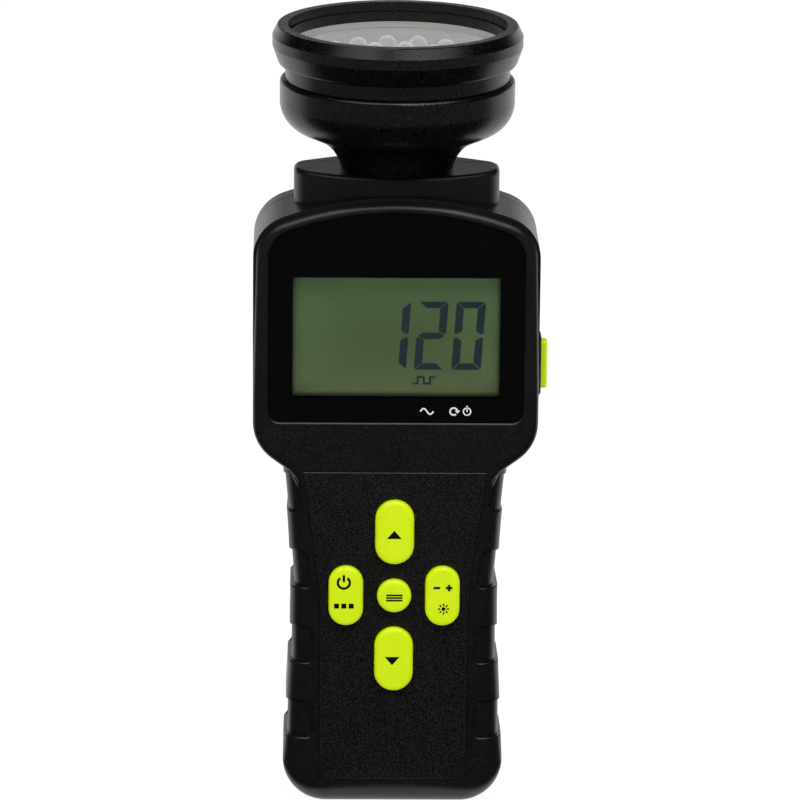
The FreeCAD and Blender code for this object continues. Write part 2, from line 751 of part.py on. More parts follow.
BAY_HALF = CELL_PITCH * (CELL_COUNT - 1) / 2 + CELL_R + BAY_PLAY
BAY_FLOOR_Y = CELL_Y - CELL_R - CELL_GAP
BAY_LOW_Z = CELL_Z - SPRING_H - CONTACT_T
BAY_TOP_Z = CELL_Z + CELL_L + NUB_L + DIMPLE_H + CONTACT_T
DOOR_BACK_Y = REAR_Y - DOOR_T
CELL_XS = [(i - (CELL_COUNT - 1) / 2) * CELL_PITCH for i in range(CELL_COUNT)]


def bay_outline(grow, radius=0.0):
    return [(BAY_HALF + grow, BAY_LOW_Z - grow, radius), (BAY_HALF + grow, BAY_TOP_Z + grow, radius),
            (-BAY_HALF - grow, BAY_TOP_Z + grow, radius), (-BAY_HALF - grow, BAY_LOW_Z - grow, radius)]


def battery_bay():
    tray = prism(bay_outline(BAY_WALL, BAY_R), BAY_FLOOR_Y - BAY_WALL, DOOR_BACK_Y)
    tray = tray.cut(prism(bay_outline(0.0), BAY_FLOOR_Y, FAR))
    ribs = []
    for left, right in zip(CELL_XS[:-1], CELL_XS[1:]):
        middle = (left + right) / 2
        ribs.append(block(middle - BAY_RIB_T / 2, middle + BAY_RIB_T / 2,
                          BAY_FLOOR_Y, BAY_FLOOR_Y + BAY_RIB_H, BAY_LOW_Z, BAY_TOP_Z))
    return fused([tray] + ribs)


def battery_cell(x, turned_over):
    body = rod_z(x, CELL_Y, CELL_R, 0, CELL_L)
    nub = rod_z(x, CELL_Y, NUB_R, CELL_L, CELL_L + NUB_L)
    cell = fused([body, nub])
    cell = cell.makeFillet(CELL_EDGE_R, edges_at(cell, lambda p: abs(p.z) < 1e-4))
    if turned_over:
        cell = cell.mirror(V(0, 0, (CELL_L + NUB_L) / 2), V(0, 0, 1))
    return cell.translated(V(0, 0, CELL_Z))


def contact_spring(x):
    """Plate against the bay's lower wall with a bent leaf that presses on the cell."""
    half = CONTACT_W / 2
    y0 = CELL_Y - CONTACT_D / 2
    y1 = CELL_Y + CONTACT_D / 2
    low = BAY_LOW_Z
    under = CELL_Z - CONTACT_T
    tip_y = CELL_Y + LEAF_TIP
    tip_z = CELL_Z - LEAF_DROP
    leaf = [(y0, low, 0), (y1, low, 0), (y1, low + CONTACT_T, 0), (y0 + 4 * CONTACT_T, low + CONTACT_T, 0),
            (CELL_Y, under, 0), (CELL_Y + LEAF_FLAT, under, 0), (tip_y, tip_z, 0),
            (tip_y, tip_z + CONTACT_T, 0), (CELL_Y + LEAF_FLAT, CELL_Z, 0), (CELL_Y - LEAF_FLAT, CELL_Z, 0),
            (y0, low + CONTACT_T, 0)]
    return sideways(leaf, x - half, x + half)


def contact_plate(x):
    half = CONTACT_W / 2
    plate = block(x - half, x + half, CELL_Y - CONTACT_D / 2, CELL_Y + CONTACT_D / 2,
                  BAY_TOP_Z - CONTACT_T, BAY_TOP_Z)
    return fused([plate, rod_z(x, CELL_Y, DIMPLE_R, CELL_Z + CELL_L + NUB_L, BAY_TOP_Z - CONTACT_T)])


def door_zone(grow, y0, y1):
    return prism(bay_outline(DOOR_LAP + grow, DOOR_R + grow), y0, y1)


def battery_door():
    """Lift-off door that carries on the curve of the grip, with ribs for the thumb."""
    plate = grip_block(0.0, 0.0).common(door_zone(0.0, DOOR_BACK_Y, FAR))
    grooves = []
    for i in range(DOOR_RIBS):
        middle = (0.0, BAY_TOP_Z - DOOR_RIB_DROP - i * DOOR_RIB_PITCH)
        slot = rectangle(DOOR_RIB_W, DOOR_RIB_T * 2, DOOR_RIB_T - 1e-3, middle)
        grooves.append(prism(slot, REAR_Y - DOOR_RIB_T, FAR))
    return plate.cut(grooves)


# ---------- side button ----------

def side_outline(height, width, radius):
    return rectangle(width, height, radius, (SIDE_Y, SIDE_Z))


SIDE_FACE_X = CASE_HALF + SIDE_BASE_T + SIDE_PROUD
SIDE_STEM_X = CASE_HALF - WALL - SIDE_LIP_T - SIDE_STEM_L
SIDE_PLUNGER_X = SIDE_STEM_X - SIDE_TRAVEL - KEY_STOP


def side_base():
    """Black bezel that sits in the right flank and guides the button."""
    face_x = CASE_HALF + SIDE_BASE_T
    flange = sideways(side_outline(SIDE_BASE_H, SIDE_BASE_W, SIDE_BASE_R), CASE_HALF, face_x)
    flange = flange.makeChamfer(SIDE_BEVEL, edges_at(flange, lambda p: abs(p.x - face_x) < 1e-4))
    body = sideways(side_outline(SIDE_BODY_H, SIDE_BODY_W, SIDE_BODY_R), CASE_HALF - WALL, CASE_HALF)
    slot = sideways(side_outline(SIDE_H + 2 * SIDE_GAP, SIDE_W + 2 * SIDE_GAP, SIDE_SLOT_R),
                    CASE_HALF - WALL - 1, face_x + 1)
    return fused([flange, body]).cut(slot)


def side_button():
    cap = sideways(side_outline(SIDE_H, SIDE_W, SIDE_R), CASE_HALF - WALL, SIDE_FACE_X)
    cap = cap.makeFillet(SIDE_EDGE_R, edges_at(cap, lambda p: abs(p.x - SIDE_FACE_X) < 1e-4))
    lip = sideways(side_outline(SIDE_H + 2 * SIDE_LIP, SIDE_W + 2 * SIDE_LIP, SIDE_R),
                   CASE_HALF - WALL - SIDE_LIP_T, CASE_HALF - WALL)
    stem = rod_x(SIDE_Y, SIDE_Z, STEM_R, SIDE_STEM_X, CASE_HALF - WALL - SIDE_LIP_T)
    return fused([cap, lip, stem])


def side_switch():
    half = SWITCH_W / 2
    y0 = BOARD_Y + BOARD_T
    body_end = SIDE_PLUNGER_X - PLUNGER_H
    body = block(body_end - SIDE_SWITCH_L, body_end, y0, y0 + SIDE_SWITCH_H, SIDE_Z - half, SIDE_Z + half)
    plunger = rod_x(y0 + SIDE_SWITCH_H / 2, SIDE_Z, SIDE_PLUNGER_R, body_end, SIDE_PLUNGER_X)
    return fused([body, plunger])


# ---------- covers ----------

def front_cover(outer_front, inner):
    """Front shell with a tongue all round, relieved where the rear bosses pass it."""
    relief = [rod_y(x, z, BOSS_REAR_R + SLIP, SEAM_Y, FAR) for x, z in both_sides(CASE_SCREWS)]
    tongue = seam_core(TONGUE_PLAY, SEAM_Y - ROOT).cut([inner] + relief)
    shell = outer_front.cut(inner).fuse(tongue)
    window_seat = prism(window_outline(), FRONT_Y - 1, WIN_BACK_Y)
    sight = prism(rectangle(LCD_W, LCD_H, 0.0, (0.0, LCD_Z)), FRONT_Y - 1, FRONT_Y + FRONT_WALL + 1)
    overlay_seat = prism(key_overlay(), FRONT_Y - 1, FRONT_Y + OVER_SINK)
    key_holes = [key_shape(name, KEY_GAP, FRONT_Y - 1, KEY_BACK_Y + 1) for name in KEY_PLACES]
    neck_hole = rod_z(0, 0, STEM_OUTER_R + SLIP, PED_TOP_Z - PED_ROOF - 1, PED_TOP_Z + 1)
    side_hole = sideways(side_outline(SIDE_BODY_H, SIDE_BODY_W, SIDE_BODY_R),
                         CASE_HALF - WALL - 1, CASE_HALF + 1)
    shell = shell.cut([window_seat, window_bevel(), sight, overlay_seat, neck_hole, side_hole] + key_holes)
    front_wall_y = FRONT_Y + FRONT_WALL
    bosses = [rod_y(x, z, BOSS_FRONT_R, front_wall_y - ROOT, SEAM_Y) for x, z in both_sides(CASE_SCREWS)]
    posts = [rod_y(x, z, BOARD_POST_R, front_wall_y - ROOT, BOARD_Y) for x, z in both_sides(BOARD_POSTS)]
    shell = fused([shell] + bosses + posts)
    pilots = [rod_y(x, z, SCREW_R, SCREW_SEAT_Y - SCREW_L, FAR) for x, z in both_sides(CASE_SCREWS)]
    post_pilots = [rod_y(x, z, BOARD_SCREW_R, BOARD_Y + BOARD_T - BOARD_SCREW_L, FAR)
                   for x, z in both_sides(BOARD_POSTS)]
    return shell.cut(pilots + post_pilots)


def rear_cover(outer_rear, inner):
    """Rear shell, rebated for the front cover's tongue, with the battery bay and the screw bosses."""
    shut_line = block(-FAR, FAR, SEAM_Y - 1, SEAM_Y + SHUT_GAP, -FAR, FAR * 4)
    shell = outer_rear.cut([inner, shut_line, seam_core(0.0, SEAM_Y - 1)])
    wall_y = REAR_Y - WALL + ROOT
    bosses = [rod_y(x, z, BOSS_REAR_R, SEAM_Y, wall_y) for x, z in both_sides(CASE_SCREWS)]
    posts = [rod_y(x, z, BOARD_POST_R, DRIVER_Y + DRIVER_T, wall_y) for x, z in both_sides(DRIVER_POSTS)]
    socket = rod_y(0, TRIPOD_Z, TRIPOD_BOSS_R, REAR_Y - TRIPOD_L - TRIPOD_BOSS_T, wall_y)
    shell = fused([shell.cut(door_zone(DOOR_GAP, DOOR_BACK_Y, FAR)), battery_bay(), socket] + bosses + posts)
    neck_hole = rod_z(0, 0, STEM_OUTER_R + SLIP, PED_TOP_Z - PED_ROOF - 1, PED_TOP_Z + 1)
    holes = [rod_y(x, z, SCREW_HOLE_R, -FAR, FAR) for x, z in both_sides(CASE_SCREWS)]
    sinks = [rod_y(x, z, SCREW_SINK_R, SCREW_SEAT_Y, FAR) for x, z in both_sides(CASE_SCREWS)]
    pilots = [rod_y(x, z, BOARD_SCREW_R, -FAR, DRIVER_Y + BOARD_SCREW_L) for x, z in both_sides(DRIVER_POSTS)]
    insert = rod_y(0, TRIPOD_Z, TRIPOD_OUTER_R, REAR_Y - TRIPOD_L, FAR)
    bay = prism(bay_outline(0.0), BAY_FLOOR_Y, FAR)
    return shell.cut([neck_hole, insert, bay] + holes + sinks + pilots)


def case_screw(x, z):
    """Pan-head screw with a cross recess."""
    top = SCREW_SEAT_Y + SCREW_HEAD_T
    head = rod_y(x, z, SCREW_HEAD_R, SCREW_SEAT_Y, top)
    head = head.makeChamfer(SCREW_BEVEL, edges_at(head, lambda p: p.y > top - 1e-4))
    shank = rod_y(x, z, SCREW_R, SCREW_SEAT_Y - SCREW_L, SCREW_SEAT_Y)
    slots = [prism(rectangle(width, height, 0.0, (x, z)), top - SLOT_T, FAR)
             for width, height in ((SLOT_L, SLOT_W), (SLOT_W, SLOT_L))]
    return fused([head, shank]).cut(slots)


def tripod_socket():
    body = rod_y(0, TRIPOD_Z, TRIPOD_OUTER_R, REAR_Y - TRIPOD_L, REAR_Y)
    return body.cut(rod_y(0, TRIPOD_Z, TRIPOD_R, -FAR, FAR))


# ---------- lamp head ----------

LED_BOARD_TOP = BOWL_LEDGE_Z + LED_BOARD_T


def leaning_arc(start, radius, lean, end_lean):
    """Arc in the (r, z) profile from a point, between two leans from upright, and its end point.

    It bends outwards where end_lean is the larger, and back upright where it is the smaller.
    """
    turn = 1 if end_lean > lean else -1

    def point(angle):
        r = start.x + turn * radius * (math.cos(lean) - math.cos(angle))
        return V(r, 0, start.z + turn * radius * (math.sin(angle) - math.sin(lean)))

    end = point(end_lean)
    return Part.Arc(start, point((lean + end_lean) / 2), end).toShape(), end


def head_bowl():
    """Turned bowl, flared neck and hollow threaded stem in one piece."""
    foot = V(NECK_R, 0, PED_TOP_Z)
    flare_lean = math.radians(FLARE_LEAN)
    neck, neck_end = leaning_arc(foot, NECK_ARC_R, math.radians(NECK_LEAN), flare_lean)
    flare_end_r = BOWL_R - BOWL_ARC_R * (1 - math.cos(flare_lean))
    rise = (flare_end_r - neck_end.x) / math.tan(flare_lean)
    flare_end = V(flare_end_r, 0, neck_end.z + rise)
    belly, belly_end = leaning_arc(flare_end, BOWL_ARC_R, flare_lean, 0.0)
    rim_low = V(BOWL_R, 0, BOWL_RIM_Z - BOWL_RIM_R)
    rim, rim_top = leaning_arc(rim_low, BOWL_RIM_R, 0.0, -math.pi / 2)
    inside = [rim_top, V(BOWL_BORE_R, 0, BOWL_RIM_Z), V(BOWL_BORE_R, 0, BOWL_LEDGE_Z),
              V(BOWL_CAVITY_R, 0, BOWL_LEDGE_Z), V(BOWL_CAVITY_R - BOWL_TAPER, 0, BOWL_TAPER_Z),
              V(BOWL_FLOOR_R, 0, BOWL_FLOOR_Z), V(STEM_BORE_R, 0, BOWL_FLOOR_Z),
              V(STEM_BORE_R, 0, STEM_LOW_Z), V(STEM_OUTER_R, 0, STEM_LOW_Z),
              V(STEM_OUTER_R, 0, PED_TOP_Z), foot]
    edges = [neck, Part.makeLine(neck_end, flare_end), belly, Part.makeLine(belly_end, rim_low), rim]
    edges += [Part.makeLine(a, b) for a, b in zip(inside[:-1], inside[1:])]
    return Part.Face(Part.Wire(edges)).revolve(V(0, 0, 0), V(0, 0, 1), 360)


def bezel_ring():
    """Ring that screws into the bowl: sleeve, collar, coned underside, band and bevelled top."""
    shoulder_z = LENS_Z - GASKET_T
    collar_z = BOWL_RIM_Z + COLLAR_GAP
    solid = turned([(SLEEVE_BORE_R, LED_BOARD_TOP), (SLEEVE_R, LED_BOARD_TOP), (SLEEVE_R, collar_z),
                    (COLLAR_R, collar_z), (COLLAR_R, RING_LOW_Z), (RING_LOW_R, RING_LOW_Z),
                    (RING_R, RING_BAND_Z), (RING_R, RING_BEVEL_Z), (RING_R - RING_BEVEL, RING_TOP_Z),
                    (RING_OPENING_R, RING_TOP_Z), (RING_OPENING_R, shoulder_z), (SLEEVE_BORE_R, shoulder_z)])
    low_edge = edges_at(solid, lambda p: abs(p.z - RING_LOW_Z) < 1e-4 and
                        abs(math.hypot(p.x, p.y) - RING_LOW_R) < 1e-3)
    top_edge = edges_at(solid, lambda p: abs(p.z - RING_TOP_Z) < 1e-4 and
                        math.hypot(p.x, p.y) > RING_OPENING_R + 1)
    return solid.makeFillet(RING_LOW_EDGE_R, low_edge).makeFillet(RING_EDGE_R, top_edge)


def tube(outer, inner, z0, z1):
    return rod_z(0, 0, outer, z0, z1).cut(rod_z(0, 0, inner, z0 - 1, z1 + 1))


def led(x, y):
    """Clear 5 mm lamp: flange, straight body and domed tip."""
    z0 = LED_BOARD_TOP
    shoulder, _ = leaning_arc(V(LED_R, 0, z0 + LED_H - LED_R), LED_R, 0.0, -math.pi / 2)
    flange_top = z0 + LED_FLANGE_T
    outline = [V(0, 0, z0 + LED_H), V(0, 0, z0), V(LED_FLANGE_R, 0, z0), V(LED_FLANGE_R, 0, flange_top),
               V(LED_R, 0, flange_top), V(LED_R, 0, z0 + LED_H - LED_R)]
    edges = [Part.makeLine(a, b) for a, b in zip(outline[:-1], outline[1:])] + [shoulder]
    lamp = Part.Face(Part.Wire(edges)).revolve(V(0, 0, 0), V(0, 0, 1), 360)
    return lamp.translated(V(x, y, 0))


def led_places():
    places = []
    step = (LINER_BORE_R - LED_MARGIN - LED_INNER_R) / (len(LED_COUNTS) - 1)
    for ring, (count, first) in enumerate(zip(LED_COUNTS, LED_FIRST_ANGLES)):
        radius = LED_INNER_R + ring * step
        for i in range(count):
            angle = math.radians(first + i * 360 / count)
            places.append((radius * math.cos(angle), radius * math.sin(angle)))
    return places


def head_nut():
    top = PED_TOP_Z - PED_ROOF - WASHER_T
    across = NUT_AF / math.sqrt(3)
    angles = [math.radians(60 * i) for i in range(6)]
    corners = [(across * math.cos(angle), across * math.sin(angle), 0) for angle in angles]
    return upright(corners, top - NUT_T, top).cut(rod_z(0, 0, STEM_OUTER_R, 0, FAR * 4))


# ---------- write the parts ----------

def save(name, solids):
    shape = solids[0] if len(solids) == 1 else Part.makeCompound(solids)
    for solid in solids:
        if not solid.isValid():
            print("not valid:", name)
    shape.exportStep("parts/" + name + ".step")
    print(name, len(shape.Solids), round(shape.Volume, 1))


os.makedirs("parts", exist_ok=True)
outer_front, outer_rear = halves(outer_form())
inner = inset_form(WALL, FRONT_WALL, PED_ROOF)
driver_back = DRIVER_Y + DRIVER_T
roof_z = PED_TOP_Z - PED_ROOF
lens_top = LENS_Z + LENS_T
cap_y = driver_back + CAP_R

save("front_cover", [front_cover(outer_front, inner)])
save("rear_cover", [rear_cover(outer_rear, inner)])
save("display_window", [display_window()])
save("display_glass", [display_glass()])
save("display_frame", [display_frame()])
save("backlight_panel", [backlight()])
save("contact_strip", [contact_strip()])
save("keypad_overlay", [overlay()])
for key_name in KEY_PLACES:
    save(key_name, [key(key_name)])
save("key_switches", [key_switch(name) for name in KEY_PLACES])
save("main_board", [main_board()])
save("controller_chip", [controller_chip()])
save("board_screws", [board_screw(x, z, BOARD_Y + BOARD_T, -1) for x, z in both_sides(BOARD_POSTS)])
save("side_button", [side_button()])
save("side_base", [side_base()])
save("side_switch", [side_switch()])
save("driver_board", [driver_board()])
save("driver_screws", [board_screw(x, z, DRIVER_Y, 1) for x, z in both_sides(DRIVER_POSTS)])
save("flash_capacitor", [rod_x(cap_y, CAP_Z, CAP_R, -CAP_L / 2, CAP_L / 2)])
save("drive_coil", [rod_y(COIL_X, COIL_Z, COIL_R, driver_back, driver_back + COIL_H)])
save("board_link", [board_link()])
save("wire_plug", [wire_plug()])
save("head_wires", [rod_z(side * WIRE_X, WIRE_Y, WIRE_R, PLUG_TOP_Z, BOWL_LEDGE_Z) for side in (-1, 1)])
save("battery_cells", [battery_cell(x, i % 2 == 1) for i, x in enumerate(CELL_XS)])
save("contact_springs", [contact_spring(x) for x in CELL_XS])
save("contact_plates", [contact_plate(x) for x in CELL_XS])
save("battery_door", [battery_door()])
save("case_screws", [case_screw(x, z) for x, z in both_sides(CASE_SCREWS)])
save("tripod_socket", [tripod_socket()])
save("head_bowl", [head_bowl()])
save("bezel_ring", [bezel_ring()])
save("lens", [rod_z(0, 0, RING_OPENING_R - SLIP, LENS_Z, lens_top)])
save("lens_gasket", [tube(RING_OPENING_R - SLIP, SLEEVE_BORE_R, LENS_Z - GASKET_T, LENS_Z)])
save("lens_retainer", [tube(RING_OPENING_R - RETAINER_GAP, RING_OPENING_R - RETAINER_T,
                            lens_top, RETAINER_TOP_Z)])
save("reflector_liner", [tube(SLEEVE_BORE_R - SLIP, LINER_BORE_R, LED_BOARD_TOP,
                              LENS_Z - GASKET_T - SLIP)])
save("led_board", [rod_z(0, 0, BOWL_BORE_R - SLIP, BOWL_LEDGE_Z, LED_BOARD_TOP)])
save("leds", [led(x, y) for x, y in led_places()])
save("head_washer", [tube(WASHER_R, STEM_OUTER_R + SLIP, roof_z - WASHER_T, roof_z)])
save("head_nut", [head_nut()])
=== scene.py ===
"""Handheld LED stroboscope: the finish of every piece, its printed marks and its studio."""

import math

import bmesh
import bpy
from mathutils import Matrix, Vector


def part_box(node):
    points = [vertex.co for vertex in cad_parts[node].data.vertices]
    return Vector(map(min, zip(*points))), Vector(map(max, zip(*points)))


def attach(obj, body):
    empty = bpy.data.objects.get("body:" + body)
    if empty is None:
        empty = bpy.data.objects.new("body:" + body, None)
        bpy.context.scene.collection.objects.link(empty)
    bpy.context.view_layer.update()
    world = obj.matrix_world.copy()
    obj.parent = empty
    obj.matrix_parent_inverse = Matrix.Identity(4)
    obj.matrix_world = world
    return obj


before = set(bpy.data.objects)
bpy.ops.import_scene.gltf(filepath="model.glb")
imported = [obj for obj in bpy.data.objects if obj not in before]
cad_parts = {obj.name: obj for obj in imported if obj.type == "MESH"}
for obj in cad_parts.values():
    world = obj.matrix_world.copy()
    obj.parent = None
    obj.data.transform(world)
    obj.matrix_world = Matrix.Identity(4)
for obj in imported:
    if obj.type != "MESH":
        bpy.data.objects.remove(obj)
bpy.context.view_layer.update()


# ---- Camera ----
# A long lens on a tripod, a little above the lamp head and a degree to the left of its front.
# It points at AIM, which the shift moves a few pixels off the middle of the picture.
AIM = Vector((0.0, 0.0, 0.10525))
AIM_DISTANCE = 1.380
RISE = math.radians(15.85)
SWING = math.radians(-1.0)
ROLL = math.radians(0.53)
PICTURE_PIXELS = 800
AIM_COLUMN = 394.6
METRES_PER_PIXEL = 0.00026
SENSOR_MM = 36.0

towards_eye = Vector((math.sin(SWING) * math.cos(RISE), -math.cos(SWING) * math.cos(RISE),
                      math.sin(RISE)))
eye = bpy.data.objects.new("eye", bpy.data.cameras.new("eye"))
bpy.context.collection.objects.link(eye)
eye.location = AIM + towards_eye * AIM_DISTANCE
level = towards_eye.to_track_quat("Z", "Y").to_matrix()
eye.rotation_euler = (level @ Matrix.Rotation(ROLL, 3, "Z")).to_euler()
eye.data.sensor_width = SENSOR_MM
eye.data.lens = SENSOR_MM * AIM_DISTANCE / (PICTURE_PIXELS * METRES_PER_PIXEL)
eye.data.shift_x = (PICTURE_PIXELS / 2 - AIM_COLUMN) / PICTURE_PIXELS
bpy.context.scene.camera = eye
bpy.context.scene.view_settings.view_transform = "Standard"


# ---- Floor ----
# A plain matt white table that the heel stands on. Most of what the camera sees of it is its own
# white, so that it stays white far from the lamps and still takes a little of the soft shadow.

class Signal:
    """A number, colour or vector inside a material. Arithmetic on signals adds Math nodes."""

    def __init__(self, socket):
        self.socket = socket
        self.tree = socket.id_data

    def node(self, kind, settings=None, inputs=None, output=0):
        """Adds a node, sets it up, feeds its inputs with signals or values and gives one output.

        The setting stops holds the places and colours of a colour ramp.
        """
        made = self.tree.nodes.new("ShaderNode" + kind)
        for name, value in (settings or {}).items():
            if name == "stops":
                ends = made.color_ramp.elements
                while len(ends) < len(value):
                    ends.new(1.0)
                for stop, (place, colour) in zip(ends, value):
                    stop.position = place
                    stop.color = (*colour, 1.0)
            else:
                setattr(made, name, value)
        for key, value in (inputs or {}).items():
            if isinstance(value, Signal):
                self.tree.links.new(value.socket, made.inputs[key])
            else:
                made.inputs[key].default_value = value
        return Signal(made.outputs[output])

    def math(self, operation, first, second=0.0):
        return self.node("Math", {"operation": operation}, {0: first, 1: second})

    def __add__(self, other):
        return self.math("ADD", self, other)

    def __sub__(self, other):
        return self.math("SUBTRACT", self, other)

    def __rsub__(self, other):
        return self.math("SUBTRACT", other, self)

    def __mul__(self, other):
        return self.math("MULTIPLY", self, other)

    def __truediv__(self, other):
        return self.math("DIVIDE", self, other)

    def __pow__(self, other):
        return self.math("POWER", self, other)

    def __abs__(self):
        return self.math("ABSOLUTE", self)

    __radd__ = __add__
    __rmul__ = __mul__

    def larger(self, other):
        return self.math("MAXIMUM", self, other)

    def smaller(self, other):
        return self.math("MINIMUM", self, other)

    def to_and_fro(self, length):
        """This signal folded up, so that it runs from 0 to length and back, over and over."""
        return self.math("PINGPONG", self, length)

    def axes(self):
        """The X, Y and Z of this vector."""
        split = self.tree.nodes.new("ShaderNodeSeparateXYZ")
        self.tree.links.new(self.socket, split.inputs[0])
        return [Signal(socket) for socket in split.outputs]

    def above(self, low, high):
        """0 below low, 1 above high and a smooth step between them."""
        return self.node("MapRange", {"interpolation_type": "SMOOTHSTEP"},
                         {"Value": self, "From Min": low, "From Max": high})

    def noise(self, size, detail=2.0, roughness=0.5):
        """Cloudy noise whose lumps are about size metres across."""
        return self.node("TexNoise", {}, {"Vector": self, "Scale": 1 / size, "Detail": detail,
                                          "Roughness": roughness})

    def blend(self, first, second):
        """Colour between two colours, by this signal."""
        # A mix names its sockets alike for every type, so the colour ones go by their numbers.
        return self.node("Mix", {"data_type": "RGBA"}, {0: self, 6: first, 7: second}, output=2)

    def bump(self, height):
        """Normal of a surface whose relief is this signal times height metres."""
        return self.node("Bump", {}, {"Height": self, "Distance": height, "Strength": 1.0})


def rgb(red, green, blue):
    """Colour with full alpha, from linear parts."""
    return (red, green, blue, 1.0)


def new_finish(name, constants):
    """A material, its shader with these constants set on it, and the object coordinates."""
    material = bpy.data.materials.new(name)
    material.use_nodes = True
    tree = material.node_tree
    shader = tree.nodes["Principled BSDF"]
    for socket, value in constants.items():
        shader.inputs[socket].default_value = value
    place = Signal(tree.nodes.new("ShaderNodeTexCoord").outputs["Object"])
    return material, shader, place


def feed(shader, signals):
    """Links each signal to the shader's socket of that name."""
    for socket, signal in signals.items():
        shader.id_data.links.new(signal.socket, shader.inputs[socket])


def new_piece(name, mesh, material):
    """An object in the scene, with this mesh in this material."""
    piece = bpy.data.objects.new(name, mesh)
    bpy.context.collection.objects.link(piece)
    mesh.materials.append(material)
    return piece


def flat_mesh(name, faces):
    """Mesh of separate flat faces, each a list of points."""
    mesh = bpy.data.meshes.new(name)
    points = [point for face in faces for point in face]
    starts = [sum(len(face) for face in faces[:i]) for i in range(len(faces))]
    mesh.from_pydata(points, [], [range(start, start + len(face))
                                  for start, face in zip(starts, faces)])
    return mesh


def seen_directly(tree):
    """1 for a ray from the camera, or one that reached here by a mirror or through a clear part."""
    path = tree.nodes.new("ShaderNodeLightPath")
    direct, mirrored, through = (Signal(path.outputs[kind]) for kind in
                                 ("Is Camera Ray", "Is Glossy Ray", "Is Transmission Ray"))
    return direct.larger(mirrored.larger(through))


FLOOR_HALF = 6.0
FLOOR_COLOUR = rgb(0.86, 0.86, 0.86)
FLOOR_OWN_WHITE = 0.85
FLOOR_GLOW = 1.1

floor_finish, floor_shader, _ = new_finish("studio_floor", {"Roughness": 0.9,
                                                            "Base Color": FLOOR_COLOUR})
floor_tree = floor_finish.node_tree
seen = seen_directly(floor_tree)
own_white = seen.node("Emission", {}, {"Color": rgb(1, 1, 1), "Strength": FLOOR_GLOW})
matt_white = Signal(floor_shader.outputs[0])
floor_mix = seen.node("MixShader", {}, {0: seen * FLOOR_OWN_WHITE, 1: matt_white, 2: own_white})
floor_tree.links.new(floor_mix.socket, floor_tree.nodes["Material Output"].inputs["Surface"])
floor_corners = [(-FLOOR_HALF, -FLOOR_HALF, 0), (FLOOR_HALF, -FLOOR_HALF, 0),
                 (FLOOR_HALF, FLOOR_HALF, 0), (-FLOOR_HALF, FLOOR_HALF, 0)]
new_piece("studio_floor", flat_mesh("studio_floor", [floor_corners]), floor_finish)


# ---- Light ----
# Two softboxes high in front, one each side, and a narrow one between them, in a white room that
# is plain white to the eye and in mirrors and gives the faces the rest of their light.
# Each box has its swing to the side and its rise in degrees, its width and height, and its watts.
BOX_DISTANCE = 1.35
BOXES = {"softbox_left": (-43.0, 57.0, 0.80, 0.88, 5.4),
         "softbox_right": (43.0, 57.0, 0.80, 0.88, 5.4),
         "softbox_middle": (10.0, 61.0, 0.42, 0.78, 3.4)}
ROOM_LIGHT = 0.55

world = bpy.data.worlds.new("studio")
bpy.context.scene.world = world
world.use_nodes = True
room = world.node_tree.nodes["Background"]
room.inputs["Color"].default_value = rgb(1, 1, 1)
room_strength = ROOM_LIGHT + seen_directly(world.node_tree) * (1 - ROOM_LIGHT)
world.node_tree.links.new(room_strength.socket, room.inputs["Strength"])
for name, (swing, rise, width, height, watts) in BOXES.items():
    lamp = bpy.data.objects.new(name, bpy.data.lights.new(name, "AREA"))
    bpy.context.collection.objects.link(lamp)
    swing, rise = math.radians(swing), math.radians(rise)
    away = Vector((math.sin(swing) * math.cos(rise), -math.cos(swing) * math.cos(rise),
                   math.sin(rise)))
    lamp.location = AIM + away * BOX_DISTANCE
    lamp.rotation_euler = away.to_track_quat("Z", "Y").to_euler()
    lamp.data.shape = "RECTANGLE"
    lamp.data.size = width
    lamp.data.size_y = height
    lamp.data.energy = watts


# ---- Black cards ----
# Black cloth that hangs in front of the instrument and over it and lies on the table before it, so
# that its faces mirror black between the softboxes. The white room shows only low behind it and
# past the cloth on the table. Only reflections see the cloth.
CARD_RADIUS = 1.9
CARD_STEP = 2.5
CARD_FRONT_SWING = 130.0
CARD_LOW = 14.0
CARD_FLOOR_SWING = 105.0
CARD_HOLE_HALF_W = 0.038
CARD_HOLE_HALF_D = 0.0245
CARD_FLOOR_END = 1.10
CARD_FLOOR_Z = 0.0015


def on_dome(swing, rise, radius=CARD_RADIUS, z=None):
    """Point at a swing and a rise in degrees on a dome over the origin, or right over it at z."""
    swing, rise = math.radians(swing), math.radians(rise)
    return (radius * math.sin(swing) * math.cos(rise), -radius * math.cos(swing) * math.cos(rise),
            radius * math.sin(rise) if z is None else z)


card_finish, _, _ = new_finish("black_card", {"Roughness": 1.0, "Specular IOR Level": 0.0,
                                              "Base Color": rgb(0.01, 0.01, 0.01)})
card_faces = []
for column in range(int(360 / CARD_STEP)):
    swing = -180 + column * CARD_STEP
    middle = abs(swing + CARD_STEP / 2)
    for row in range(int(90 / CARD_STEP)):
        rise = row * CARD_STEP
        if middle < CARD_FRONT_SWING or rise >= CARD_LOW:
            card_faces.append([on_dome(swing, rise), on_dome(swing + CARD_STEP, rise),
                               on_dome(swing + CARD_STEP, rise + CARD_STEP),
                               on_dome(swing, rise + CARD_STEP)])
    if middle < CARD_FLOOR_SWING:
        angles = math.radians(swing), math.radians(swing + CARD_STEP)
        near = [(CARD_HOLE_HALF_W * math.sin(angle), -CARD_HOLE_HALF_D * math.cos(angle),
                 CARD_FLOOR_Z) for angle in angles]
        card_faces.append([near[0], on_dome(swing, 0, CARD_FLOOR_END, CARD_FLOOR_Z),
                           on_dome(swing + CARD_STEP, 0, CARD_FLOOR_END, CARD_FLOOR_Z), near[1]])
cards = new_piece("black_cards", flat_mesh("black_cards", card_faces), card_finish)
cards.visible_camera = False
cards.visible_diffuse = False
cards.visible_transmission = False
